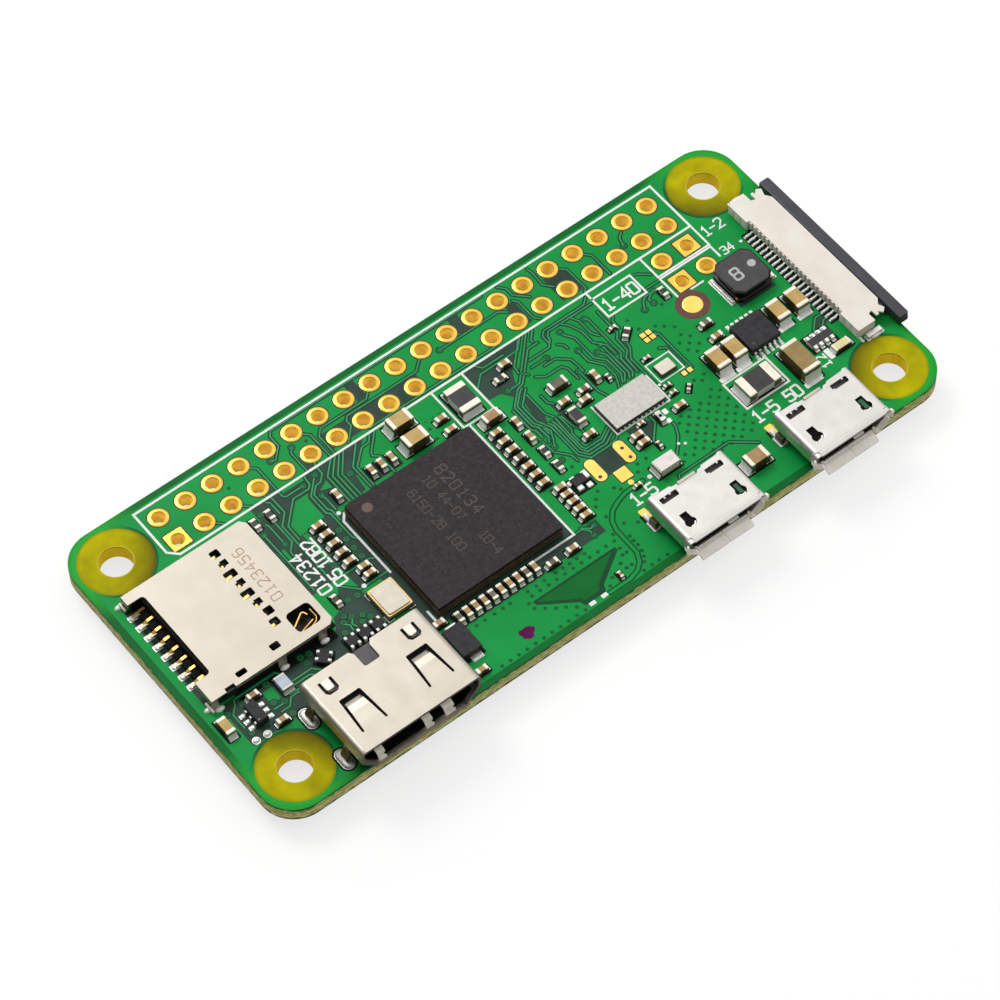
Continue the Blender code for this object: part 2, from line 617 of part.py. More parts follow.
def build_inductor():
    rings = [ring(chamfered_square(INDUCTOR_X, INDUCTOR_Y, half, chamfer), z)
             for z, half, chamfer in INDUCTOR_LAYERS]
    put("inductor_core", loft(rings), CORE_CHARCOAL)
    for name, side in (("left", -1), ("right", 1)):
        terminal = box(INDUCTOR_X + side * 1.9, INDUCTOR_X + side * 2.35,
                       INDUCTOR_Y - 1.45, INDUCTOR_Y + 1.45, STANDOFF, 0.3)
        put("inductor_terminal_" + name, terminal, SILVER)


def build_regulator():
    """Package with six leads on its lower side and six on its upper side."""
    left, right, lower, upper = 21.25, 24.15, -3.98, -1.08
    put("regulator_chip", moulded(left, right, lower, upper, 0.1, 0.8), MATT_BLACK)
    for name, edge, out in (("lower", lower, -1), ("upper", upper, 1)):
        web = box(left + 0.05, right - 0.05, edge - out * 0.28, edge - out * 0.12, LEAD_Z, 0.07)
        leads = [box(x - 0.12, x + 0.12, edge - out * 0.3, edge + out * 0.42, LEAD_Z, 0.08)
                 for x in spaced((left + right) / 2, 0.48, 6)]
        put("regulator_leads_" + name, fuse(web, leads), SILVER)


def build_card_regulator():
    """Small package with three leads on each side, each pair in one piece."""
    left, right, lower, upper = -29.15, -28.25, -7.2, -5.3
    put("sd_regulator", moulded(left, right, lower, upper, 0.1, 0.85), MATT_BLACK)
    web = box(left + 0.15, right - 0.15, lower + 0.1, upper - 0.1, LEAD_Z, 0.06)
    leads = [box(left - 0.47, right + 0.47, y - 0.13, y + 0.13, LEAD_Z, 0.07)
             for y in spaced((lower + upper) / 2, 0.62, 3)]
    put("sd_regulator_leads", fuse(web, leads), SILVER)


# ---------------------------------------------------------------- crystals and small chips
# name, x range, y range, lid inset, base top, lid top, lid bevel, finishes of base and lid
CRYSTALS = (
    ("radio_crystal", 14.32, 15.9, -1.22, -0.02, 0.1, 0.30, 0.42, 0.04, CREAM, RADIO_LID),
    ("main_crystal", -15.98, -13.52, -5.85, -2.8, 0.12, 0.45, 0.65, 0.05, MAIN_BASE, MAIN_LID))
LID_GAP = 0.02
ESD_HEIGHT = 0.5


def build_crystals():
    for name, left, right, lower, upper, inset, base_top, lid_top, bevel, base, lid in CRYSTALS:
        put(name + "_base", box(left, right, lower, upper, STANDOFF, base_top), base)
        put(name + "_lid", moulded(left + inset, right - inset, lower + inset, upper - inset,
                                   base_top + LID_GAP, lid_top, bevel), lid)


def build_small_chips():
    radio = moulded(8.35, 13.25, -3.05, -0.15, STANDOFF, 0.55, bevel=0.04)
    put("radio_chip", radio, RADIO_GREY)
    put("hdmi_diode", moulded(-13.3, -11.95, -12.15, -9.4, STANDOFF, 0.75), BLACK)


def build_esd_arrays():
    """Three arrays in a row, and a fourth turned by 45 degrees."""
    for letter, x in zip("abc", spaced(-18.05, 1.2, 3)):
        put("esd_array_" + letter,
            moulded(x - 0.5, x + 0.5, -6.1, -5.15, STANDOFF, ESD_HEIGHT), MATT_BLACK)
    turned = moulded(-0.62, 0.62, -0.5, 0.5, STANDOFF, ESD_HEIGHT)
    placing = Matrix.Translation((-21.75, -5.35, 0)) @ Matrix.Rotation(math.radians(45), 4, "Z")
    bmesh.ops.transform(turned, matrix=placing, verts=turned.verts)
    put("esd_array_d", turned, MATT_BLACK)


# ---------------------------------------------------------------- two-terminal parts
# name, x, y, length, width, height, axis of the length, end length, proud, finish
TWO_TERMINAL_PARTS = (
    ("regulator_capacitor_a", 18.63, -2.85, 2.0, 1.25, 1.0, "y", 0.45, 0.025, TAN),
    ("regulator_capacitor_b", 20.3, -2.85, 2.0, 1.25, 1.0, "y", 0.45, 0.025, TAN),
    ("regulator_capacitor_c", 25.3, -2.2, 1.95, 1.2, 1.0, "y", 0.45, 0.025, TAN),
    ("regulator_capacitor_d", 27.2, -2.2, 1.95, 1.2, 1.0, "y", 0.45, 0.025, TAN),
    ("input_capacitor", 23.6, -6.9, 3.2, 1.6, 1.3, "y", 0.45, 0.025, TAN),
    ("usb_capacitor", 15.0, -11.9, 1.9, 1.25, 1.0, "x", 0.45, 0.025, TAN),
    ("power_fuse", 19.82, -6.35, 3.2, 2.0, 0.85, "x", 0.75, 0.025, BLACK),
    ("hdmi_fuse", 0.72, 6.72, 2.6, 1.85, 0.85, "y", 0.6, 0.025, BLACK),
    ("usb_filter", 9.3, -7.85, 2.0, 1.25, 0.8, "x", 0.3, 0.01, FILTER_GREY),
    ("activity_led", 27.3, -7.6, 1.6, 0.75, 0.45, "x", 0.3, 0.01, LED_YELLOW),
    ("core_capacitor_a", -4.5, 7.95, 2.0, 1.25, 1.15, "x", 0.42, 0.025, TAN),
    ("core_capacitor_b", -4.55, 5.9, 2.0, 1.25, 1.15, "x", 0.42, 0.025, TAN),
    ("core_capacitor_c", 1.45, 3.95, 1.6, 0.85, 0.8, "x", 0.35, 0.025, TAN))
# name, solder strip (x range, y range), first part's x, y, step in x, y, count
BYPASS_ROWS = (
    ("below", (-11.95, -4.1, -9.15, -8.75), -11.7, -8.95, 0.805, 0.0, 10),
    ("left", (-15.25, -14.9, -0.1, 4.6), -15.1, 4.35, 0.0, -1.02, 5),
    ("right", (0.75, 1.1, -3.5, 2.9), 0.9, 2.65, 0.0, -0.99, 7),
    ("lower_right", (1.45, 1.8, -7.7, -4.2), 1.6, -4.45, 0.0, -0.8, 5),
    ("upper", (-9.0, -6.65, 5.7, 6.1), -8.8, 5.88, 0.98, 0.0, 3))


def build_two_terminal_parts():
    for name, x, y, length, width, height, axis, end, proud, finish in TWO_TERMINAL_PARTS:
        part = two_terminal(x, y, length, width, height, STANDOFF, axis, end, proud)
        put(name, part, finish)


def build_bypass_rows():
    """Rows of small parts, each part across its row, on one thin strip of solder land."""
    for name, strip, x, y, step_x, step_y, count in BYPASS_ROWS:
        axis = "y" if step_x else "x"
        parts = [two_terminal(x + step_x * i, y + step_y * i, 1.0, 0.52, 0.5, STANDOFF, axis,
                              end=0.25, proud=0.015) for i in range(count)]
        put("bypass_row_" + name, fuse(box(*strip, 0.01, 0.09), parts), TAN)


def main():
    for item in list(bpy.data.objects):
        bpy.data.objects.remove(item, do_unlink=True)
    build_board()
    build_soc()
    build_ram()
    build_card_shell()
    build_card_housing()
    build_card_contacts()
    build_card_switch()
    build_hdmi_shell()
    build_hdmi_insulator()
    build_hdmi_contacts()
    for prefix, middle in MICRO_SOCKETS:
        build_micro_shell(prefix, middle)
        build_micro_insulator(prefix, middle)
        build_micro_contacts(prefix, middle)
    build_fpc_housing()
    build_fpc_latch()
    build_fpc_metal()
    build_inductor()
    build_regulator()
    build_card_regulator()
    build_crystals()
    build_small_chips()
    build_esd_arrays()
    build_two_terminal_parts()
    build_bypass_rows()


main()
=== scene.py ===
"""Looks of a single board computer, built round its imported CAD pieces.

Everything is drawn in millimetres and scaled to metres piece by piece. The board is centred on
x = y = 0 with its long side along x; its underside is z = 0 and its component side z = TOP.
The pin header runs along the +y edge, the three metal sockets open towards -y, the memory card
socket sits at the -x end and the ribbon connector at the +x end.
"""

import bpy
import bmesh
import itertools
import math
import random
from mathutils import Matrix, Vector


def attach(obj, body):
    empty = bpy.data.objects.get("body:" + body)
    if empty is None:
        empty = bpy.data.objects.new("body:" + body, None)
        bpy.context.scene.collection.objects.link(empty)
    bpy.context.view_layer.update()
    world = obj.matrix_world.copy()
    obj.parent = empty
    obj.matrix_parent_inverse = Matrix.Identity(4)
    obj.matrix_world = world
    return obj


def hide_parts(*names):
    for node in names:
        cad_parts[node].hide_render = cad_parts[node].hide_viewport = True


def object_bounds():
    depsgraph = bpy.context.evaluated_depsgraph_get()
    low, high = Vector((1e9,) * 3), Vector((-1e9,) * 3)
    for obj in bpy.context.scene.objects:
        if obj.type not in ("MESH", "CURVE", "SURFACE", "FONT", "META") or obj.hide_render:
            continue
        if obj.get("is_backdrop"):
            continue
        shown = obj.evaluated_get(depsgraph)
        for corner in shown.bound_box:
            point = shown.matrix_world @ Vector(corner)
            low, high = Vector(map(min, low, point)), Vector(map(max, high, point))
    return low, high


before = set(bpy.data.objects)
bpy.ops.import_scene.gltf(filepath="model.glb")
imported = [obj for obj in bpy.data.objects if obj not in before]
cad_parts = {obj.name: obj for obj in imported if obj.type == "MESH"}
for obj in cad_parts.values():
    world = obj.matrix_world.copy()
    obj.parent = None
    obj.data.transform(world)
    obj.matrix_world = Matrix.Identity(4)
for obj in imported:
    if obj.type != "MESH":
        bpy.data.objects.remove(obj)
START_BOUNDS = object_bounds()
random.seed(11)

MM = 0.001
QUARTER = math.pi / 2

# board
TOP = 1.4
BOARD_X, BOARD_Y, BOARD_CORNER = 32.5, 15, 3  # half length, half width, corner radius
SEAT_INSET = 3.5  # screw hole centre to board edge
SEAT_X, SEAT_Y = BOARD_X - SEAT_INSET, BOARD_Y - SEAT_INSET
SEAT_HOLE, SEAT_RING = 1.375, 3.05  # radii
PIN_PITCH, PIN_COUNT = 2.54, 20
FIRST_PIN_X, PIN_ROWS = -24.13, (10.23, 12.77)
EXTRA_PINS = [(24.13, 7.69), (21.59, 7.69), (21.59, 5.15), (24.13, 5.15)]
SQUARE_PINS = {(FIRST_PIN_X, PIN_ROWS[0]), (24.13, 7.69), (21.59, 5.15)}

# sockets along the -y edge
VIDEO_X, USB_X, POWER_X = -20.1, 8.9, 21.5
VIDEO_LEG = 5.66  # leg slot to socket centre
VIDEO_LEG_Y = (-8.85, -13.3)

# upper faces of the thin layers on the component side
BURIED = TOP - 0.001  # start of layers that reach just into the board
Z_POUR = TOP + 0.010
Z_BARE = TOP + 0.014
Z_CLEAR = TOP + 0.018
Z_TRACE = TOP + 0.022
Z_PAD = TOP + 0.028
Z_SILK = TOP + 0.031

HOLES = [(FIRST_PIN_X + PIN_PITCH * i, y) for i in range(PIN_COUNT) for y in PIN_ROWS] + EXTRA_PINS
SEATS = [(sx * SEAT_X, sy * SEAT_Y) for sx in (-1, 1) for sy in (-1, 1)]
SLOTS = [(VIDEO_X + side * VIDEO_LEG, y) for side in (-1, 1) for y in VIDEO_LEG_Y]


# ------------------------------------------------------------------ outlines: lists of (x, y)
def rect(x0, x1, y0, y1):
    return [(x0, y0), (x1, y0), (x1, y1), (x0, y1)]


def round_rect(x0, x1, y0, y1, r, n=4):
    points = []
    for cx, cy, start in ((x1 - r, y0 + r, -90), (x1 - r, y1 - r, 0),
                          (x0 + r, y1 - r, 90), (x0 + r, y0 + r, 180)):
        for i in range(n + 1):
            t = math.radians(start + 90.0 * i / n)
            points.append((cx + r * math.cos(t), cy + r * math.sin(t)))
    return points


def circle(cx, cy, r, n=24):
    turns = [2 * math.pi * i / n for i in range(n)]
    return [(cx + r * math.cos(t), cy + r * math.sin(t)) for t in turns]


def chamfered(x0, x1, y0, y1, c):
    return [(x0 + c, y0), (x1 - c, y0), (x1, y0 + c), (x1, y1 - c),
            (x1 - c, y1), (x0 + c, y1), (x0, y1 - c), (x0, y0 + c)]


def slot_loop(x, y, grow=0.0):
    """Outline of a video socket leg slot, widened by grow."""
    return round_rect(x - 0.4 - grow, x + 0.4 + grow, y - 0.85 - grow, y + 0.85 + grow,
                      0.38 + grow, 4)


def counter_clockwise(outline):
    area = sum(a[0] * b[1] - b[0] * a[1] for a, b in zip(outline, outline[1:] + outline[:1]))
    return outline[::-1] if area < 0 else outline


def inset(outline, distance):
    """Counter-clockwise outline moved inwards."""
    out = []
    n = len(outline)
    for i in range(n):
        a, b, c = Vector(outline[i - 1]), Vector(outline[i]), Vector(outline[(i + 1) % n])
        before, after = (b - a).normalized(), (c - b).normalized()
        normal = Vector((-before.y, before.x))
        mitre = normal + Vector((-after.y, after.x))
        if mitre.length < 1e-6:
            mitre = normal
        mitre.normalize()
        k = distance / max(mitre.dot(normal), 0.4)
        out.append((b.x + mitre.x * k, b.y + mitre.y * k))
    return out


def rounded_path(points, radii, steps=4):
    """Polyline with its inner corners replaced by arcs; radii is one radius or one per corner."""
    out = [points[0]]
    for i in range(1, len(points) - 1):
        before, p, after = Vector(points[i - 1]), Vector(points[i]), Vector(points[i + 1])
        r = radii if isinstance(radii, (int, float)) else radii[i - 1]
        d0, d1 = (before - p).normalized(), (after - p).normalized()
        angle = d0.angle(d1)
        if r <= 0 or angle > math.pi - 0.02:
            out.append(tuple(p))
            continue
        cut = min(r / math.tan(angle / 2), (before - p).length * 0.49, (after - p).length * 0.49)
        fitted = cut * math.tan(angle / 2)
        centre = p + (d0 + d1).normalized() * (fitted / math.sin(angle / 2))
        from_centre, to_centre = p + d0 * cut - centre, p + d1 * cut - centre
        t0 = math.atan2(from_centre.y, from_centre.x)
        sweep = math.atan2(to_centre.y, to_centre.x) - t0
        while sweep > math.pi:
            sweep -= 2 * math.pi
        while sweep < -math.pi:
            sweep += 2 * math.pi
        for k in range(steps + 1):
            t = t0 + sweep * k / steps
            out.append((centre.x + fitted * math.cos(t), centre.y + fitted * math.sin(t)))
    out.append(points[-1])
    return out


def above(points):
    """Section points given as (x or y, height above the component side)."""
    return [(a, TOP + height) for a, height in points]


def bend(points, radius, steps=3):
    """Rounded section path; heights are above the component side."""
    return rounded_path(above(points), radius, steps)


def side_points(path, width, closed=False):
    """Mitred points to the left and right of a path."""
    points = [Vector(p) for p in path]
    n = len(points)
    left, right = [], []
    for i, p in enumerate(points):
        d0 = (p - points[i - 1]) if (i or closed) else None
        d1 = (points[(i + 1) % n] - p) if (i + 1 < n or closed) else None
        d0 = d0.normalized() if d0 is not None and d0.length > 1e-9 else None
        d1 = d1.normalized() if d1 is not None and d1.length > 1e-9 else None
        if d0 is None:
            d0 = d1
        if d1 is None:
            d1 = d0
        normal = Vector((-d0.y, d0.x))
        mitre = normal + Vector((-d1.y, d1.x))
        if mitre.length < 1e-6:
            mitre = normal
        mitre.normalize()
        mitre = mitre * (width / 2) / max(mitre.dot(normal), 0.4)
        left.append((p.x + mitre.x, p.y + mitre.y))
        right.append((p.x - mitre.x, p.y - mitre.y))
    return left, right


# ------------------------------------------------------------------ shapes: (points, faces)
PLACE = {
    "z": lambda p, h: (p[0], p[1], h),
    "y": lambda p, h: (p[0], h, p[1]),
    "x": lambda p, h: (h, p[0], p[1]),
}


def rings_solid(rings):
    """Capped body through rings of equal point count."""
    points, faces = [], []
    n = len(rings[0])
    for ring in rings:
        points.extend(ring)
    for k in range(len(rings) - 1):
        a, b = k * n, (k + 1) * n
        for i in range(n):
            j = (i + 1) % n
            faces.append((a + i, a + j, b + j, b + i))
    faces.append(tuple(range(n - 1, -1, -1)))
    faces.append(tuple(range((len(rings) - 1) * n, len(rings) * n)))
    return points, faces


def prism(outline, lo, hi, axis="z"):
    outline = counter_clockwise(outline)
    place = PLACE[axis]
    points, faces = rings_solid([[place(p, h) for p in outline] for h in (lo, hi)])
    if axis == "y":
        faces = [f[::-1] for f in faces]
    return points, faces


def bevelled(outline, z0, z1, edge=0.05, foot=0.0, steps=2):
    """Upright prism with a rounded upper edge, and a small chamfer below if foot is set."""
    outline = counter_clockwise(outline)
    rings = []
    if foot:
        rings.append([(x, y, z0) for x, y in inset(outline, foot)])
    rings.append([(x, y, z0 + foot) for x, y in outline])
    for i in range(steps + 1):
        t = math.pi / 2 * i / steps
        narrow = edge * (1 - math.cos(t))
        z = z1 - edge + edge * math.sin(t)
        loop = inset(outline, narrow) if narrow > 1e-9 else outline
        rings.append([(x, y, z) for x, y in loop])
    return rings_solid(rings)


def block(x0, x1, y0, y1, low, high, edge=0.04, steps=2, foot=None, corner=None):
    """Rounded box; low and high are above the component side, edge rounds its upper rim."""
    corner = edge if corner is None else corner
    base = round_rect(x0, x1, y0, y1, max(corner, 0.005), 2 if corner < 0.15 else 4)
    return bevelled(base, TOP + low, TOP + high, edge, edge * 0.6 if foot is None else foot, steps)


def pad(x0, x1, y0, y1, r=0.05, n=2):
    """Thin land on the component side."""
    return prism(round_rect(x0, x1, y0, y1, r, n), TOP, Z_PAD)


def painted_shadow_plate(x0, x1, y0, y1, r=0.1, n=2):
    """Very thin plate of painted shadow that darkens the board round a part."""
    return prism(round_rect(x0, x1, y0, y1, r, n), BURIED, Z_BARE + 0.0035)


def lathe(profile, cx, cy, n=24, closed=False):
    """Solid of revolution round a vertical axis; profile is (radius, z) points."""
    points, faces = [], []
    m = len(profile)
    for i in range(n):
        a = 2 * math.pi * i / n
        points += [(cx + r * math.cos(a), cy + r * math.sin(a), z) for r, z in profile]
    for i in range(n):
        j = (i + 1) % n
        for k in range(m if closed else m - 1):
            kk = (k + 1) % m
            faces.append((i * m + k, j * m + k, j * m + kk, i * m + kk))
    return points, faces


def annulus(cx, cy, r0, r1, z0, z1, n=24):
    return lathe([(r0, z0), (r1, z0), (r1, z1), (r0, z1)], cx, cy, n, closed=True)


def dome(cx, cy, lift, rx, ry, height, n=12):
    """Low blob on a flat base that stands lift above the component side."""
    loops = []
    for k in range(4):
        t = math.pi / 2 * k / 3.35
        s, z = math.cos(t), TOP + lift + height * math.sin(t)
        turns = [2 * math.pi * i / n for i in range(n)]
        loops.append([(cx + rx * s * math.cos(a), cy + ry * s * math.sin(a), z) for a in turns])
    return rings_solid(loops)


def ball(cx, cy, cz, r, n=8, m=5):
    loops = []
    for k in range(1, m):
        t = math.pi * k / m
        level = circle(cx, cy, r * math.sin(t), n)
        loops.append([(x, y, cz - r * math.cos(t)) for x, y in level])
    return rings_solid(loops)


STAGGER = itertools.cycle((1, 2, 3, 4, 5, 0))


def stagger(z0, z1):
    """Slightly different thickness for each strip, so that crossing strips never share a face."""
    k = 0.0005 * next(STAGGER)
    return z0 - k, z1 + k


def track(path, width, z0, z1):
    """Flat strip with rounded ends along a path, as a closed prism."""
    z0, z1 = stagger(z0, z1)
    left, right = side_points(path, width)

    def arc(p, q, degrees):
        d = (Vector(p) - Vector(q)).normalized()
        a = math.atan2(d.y, d.x)
        turns = [a + math.radians(k) for k in degrees]
        return [(p[0] + width / 2 * math.cos(t), p[1] + width / 2 * math.sin(t)) for t in turns]

    end = arc(path[-1], path[-2], (45, 0, -45))
    start = arc(path[0], path[1], (-45, 0, 45))
    n = len(left)
    points = [(x, y, z) for z in (z0, z1) for x, y in left + right + end + start]
    m = 2 * n + 6
    faces = []
    # quads along the strip, so that bends stay clean
    for i in range(n - 1):
        faces.append((m + i, m + n + i, m + n + i + 1, m + i + 1))
        faces.append((i, i + 1, n + i + 1, n + i))
        faces.append((m + i + 1, i + 1, i, m + i))
        faces.append((n + i, n + i + 1, m + n + i + 1, m + n + i))
    for rim in ([n - 1, 2 * n, 2 * n + 1, 2 * n + 2, 2 * n - 1],
                [n, 2 * n + 5, 2 * n + 4, 2 * n + 3, 0]):
        faces.append(tuple(m + k for k in rim[::-1]))
        faces.append(tuple(rim))
        faces += [(a, m + a, m + b, b) for a, b in zip(rim, rim[1:])]
    return points, faces


def loop_track(path, width, z0, z1):
    """Closed flat line round a path."""
    z0, z1 = stagger(z0, z1)
    left, right = side_points(path, width, True)
    n = len(left)
    points = [(x, y, z) for z in (z0, z1) for x, y in left + right]
    faces = []
    for i in range(n):
        j = (i + 1) % n
        faces.append((2 * n + i, 3 * n + i, 3 * n + j, 2 * n + j))
        faces.append((i, j, n + j, n + i))
        faces.append((i, 2 * n + i, 2 * n + j, j))
        faces.append((n + i, n + j, 3 * n + j, 3 * n + i))
    return points, faces


def moved(shape, dx=0.0, dy=0.0, turn=0.0, about=(0.0, 0.0)):
    points, faces = shape
    c, s = math.cos(turn), math.sin(turn)
    out = []
    for x, y, z in points:
        u, v = x - about[0], y - about[1]
        out.append((about[0] + u * c - v * s + dx, about[1] + u * s + v * c + dy, z))
    return out, faces


def to_bm(shape):
    bm = bmesh.new()
    verts = [bm.verts.new(p) for p in shape[0]]
    for face in shape[1]:
        # bmesh refuses a face that repeats another one
        try:
            bm.faces.new([verts[i] for i in face])
        except ValueError:
            pass
    return bm


def from_bm(bm):
    bm.verts.ensure_lookup_table()
    bm.verts.index_update()
    points = [tuple(v.co) for v in bm.verts]
    faces = [tuple(v.index for v in f.verts) for f in bm.faces]
    bm.free()
    return points, faces


def linked_object(name, data):
    ob = bpy.data.objects.new(name, data)
    bpy.context.scene.collection.objects.link(ob)
    return ob


def mesh_from_bm(bm):
    mesh = bpy.data.meshes.new("tmp")
    bm.to_mesh(mesh)
    bm.free()
    return mesh


def evaluated_mesh(ob):
    bpy.context.view_layer.update()
    depsgraph = bpy.context.evaluated_depsgraph_get()
    return bpy.data.meshes.new_from_object(ob.evaluated_get(depsgraph))


def take_shape(ob):
    """Shape of a temporary mesh object with its modifiers applied; the object is removed."""
    out = evaluated_mesh(ob)
    shape = [tuple(v.co) for v in out.vertices], [tuple(p.vertices) for p in out.polygons]
    mesh = ob.data
    bpy.data.objects.remove(ob)
    bpy.data.meshes.remove(mesh)
    bpy.data.meshes.remove(out)
    return shape


def fill(outer, holes=(), lo=0.0, hi=None):
    """Flat plate with holes, from a filled 2-D curve. Without hi it is a single sheet at lo."""
    curve = bpy.data.curves.new("tmp", "CURVE")
    curve.dimensions = "2D"
    curve.fill_mode = "BOTH"
    for loop in [outer] + list(holes):
        spline = curve.splines.new("POLY")
        spline.points.add(len(loop) - 1)
        for p, (x, y) in zip(spline.points, loop):
            p.co = (x, y, 0, 1)
        spline.use_cyclic_u = True
    curve.extrude = 0.0 if hi is None else (hi - lo) / 2
    ob = linked_object("tmp", curve)
    mesh = evaluated_mesh(ob)
    bm = bmesh.new()
    bm.from_mesh(mesh)
    bmesh.ops.remove_doubles(bm, verts=bm.verts, dist=1e-5)
    if hi is None:
        for f in bm.faces:
            if f.normal.z < 0:
                f.normal_flip()
    else:
        bmesh.ops.recalc_face_normals(bm, faces=bm.faces)
    middle = lo if hi is None else (lo + hi) / 2
    points, faces = from_bm(bm)
    bpy.data.objects.remove(ob)
    bpy.data.curves.remove(curve)
    bpy.data.meshes.remove(mesh)
    return [(x, y, z + middle) for x, y, z in points], faces


def one_level(edge):
    """True where both faces at an edge lie in the same horizontal plane."""
    zs = [v.co.z for f in edge.link_faces for v in f.verts]
    return max(zs) - min(zs) < 1e-5


def soften(shape, width, segments=2, angle=30, refill=False):
    """Bevels the sharp edges of a closed shape."""
    bm = to_bm(shape)
    bmesh.ops.remove_doubles(bm, verts=bm.verts, dist=1e-5)
    bmesh.ops.recalc_face_normals(bm, faces=bm.faces)
    edges = [e for e in bm.edges if len(e.link_faces) == 2
             and e.calc_face_angle(0) > math.radians(angle) and not one_level(e)]
    if edges:
        bmesh.ops.bevel(bm, geom=edges, offset=width, segments=segments, profile=0.5,
                        affect="EDGES", clamp_overlap=True)
    if refill:
        # new triangles for the top and bottom planes, as a bevel can fold the needle-shaped ones
        for z, up in ((max(v.co.z for v in bm.verts), 1.0), (min(v.co.z for v in bm.verts), -1.0)):
            level = set(f for f in bm.faces if all(abs(v.co.z - z) < 1e-5 for v in f.verts))
            rim = [e for e in bm.edges if sum(1 for f in e.link_faces if f in level) == 1]
            bmesh.ops.delete(bm, geom=list(level), context="FACES")
            rim = [e for e in rim if e.is_valid]
            bmesh.ops.triangle_fill(bm, use_beauty=True, use_dissolve=False, edges=rim,
                                    normal=(0.0, 0.0, up))
    return from_bm(bm)


def strip(path, thick, lo, hi, axis="y", edge=0.0):
    """Bent strip of even thickness: a path in the section plane, carried from lo to hi."""
    left, right = side_points(path, thick)
    n = len(left)
    points = [PLACE[axis](p, h) for h in (lo, hi) for p in left + right]
    faces = []
    for i in range(n - 1):
        faces.append((i, i + 1, n + i + 1, n + i))
        faces.append((2 * n + i, 3 * n + i, 3 * n + i + 1, 2 * n + i + 1))
        faces.append((i, 2 * n + i, 2 * n + i + 1, i + 1))
        faces.append((n + i, n + i + 1, 3 * n + i + 1, 3 * n + i))
    faces.append((0, n, 3 * n, 2 * n))
    faces.append((n - 1, 3 * n - 1, 4 * n - 1, 2 * n - 1))
    return soften((points, faces), edge, 1) if edge else (points, faces)


def shell_section(cx, half, roof, low, cut_width, cut_height, r):
    """Stations (u, x, z) of a socket shell, from the lower left over the roof to the lower right.

    u is the length along the section, zero at its middle."""
    corners = [(cx - half + cut_width, low), (cx - half, low + cut_height), (cx - half, roof),
               (cx + half, roof), (cx + half, low + cut_height), (cx + half - cut_width, low)]
    path = rounded_path(corners, [0.25, r, r, 0.25], 5)
    out, u = [], 0.0
    for i, p in enumerate(path):
        if i:
            u += (Vector(p) - Vector(path[i - 1])).length
        out.append((u, p[0], p[1]))
    return [(a - u / 2, x, z) for a, x, z in out]


def bisect(bm, place, normal):
    bmesh.ops.bisect_plane(bm, geom=list(bm.verts) + list(bm.edges) + list(bm.faces),
                           plane_co=place, plane_no=normal, dist=1e-5)


def sheet_metal(flat, holes, section):
    """Flat pattern (u along the section, v along y), cut at the stations and wrapped on to them."""
    bm = to_bm(fill(flat, holes))
    bmesh.ops.remove_doubles(bm, verts=bm.verts, dist=1e-4)
    for u, _, _ in section[1:-1]:
        bisect(bm, (u, 0, 0), (1, 0, 0))
    last = len(section) - 1
    for v in bm.verts:
        u = v.co.x
        i = next((i for i in range(1, last) if u <= section[i][0]), last)
        (u0, x0, z0), (u1, x1, z1) = section[i - 1], section[i]
        k = (u - u0) / (u1 - u0)
        v.co = (x0 + (x1 - x0) * k, v.co.y, z0 + (z1 - z0) * k)
    bmesh.ops.recalc_face_normals(bm, faces=bm.faces)
    return bm


def thicken(bm, roof, thick, edge):
    """Turns an open sheet roof side up, gives it thickness inwards and softens its cut edges."""
    bmesh.ops.recalc_face_normals(bm, faces=bm.faces)
    level = [f for f in bm.faces if abs(f.calc_center_median().z - roof) < 0.02]
    if sum(f.normal.z * f.calc_area() for f in level) < 0:
        bmesh.ops.reverse_faces(bm, faces=bm.faces)
    ob = linked_object("tmp", mesh_from_bm(bm))
    solid = ob.modifiers.new("s", "SOLIDIFY")
    solid.thickness = thick
    solid.offset = -1.0
    solid.use_even_offset = True
    bevel = ob.modifiers.new("b", "BEVEL")
    bevel.width = edge
    bevel.segments = 2
    bevel.limit_method = "ANGLE"
    bevel.angle_limit = math.radians(50)
    bevel.use_clamp_overlap = True
    return take_shape(ob)


def lining(section, cx, half, side, roof, drop, floor, lift, y0, y1):
    """Shell section moved inwards, carried from y0 to y1 and closed at y1.

    Points beyond half move in by side, those above roof drop, those below floor lift."""
    inner = []
    for _, x, z in section:
        dx = side if x < cx - half else (-side if x > cx + half else 0)
        dz = -drop if z > TOP + roof else (lift if z < TOP + floor else 0)
        inner.append((x + dx, z + dz))
    n = len(inner)
    faces = [(i, (i + 1) % n, n + (i + 1) % n, n + i) for i in range(n)]
    return [(x, y, z) for y in (y0, y1) for x, z in inner], faces + [tuple(range(n, 2 * n))]


# sizes in metres and square metres used when a piece decides which faces are shaded flat
LEVEL = 2e-8
WIDE_LEVEL_FACE = 1.5e-8
WIDE_FACE = 1.2e-7
FINISHES = {}


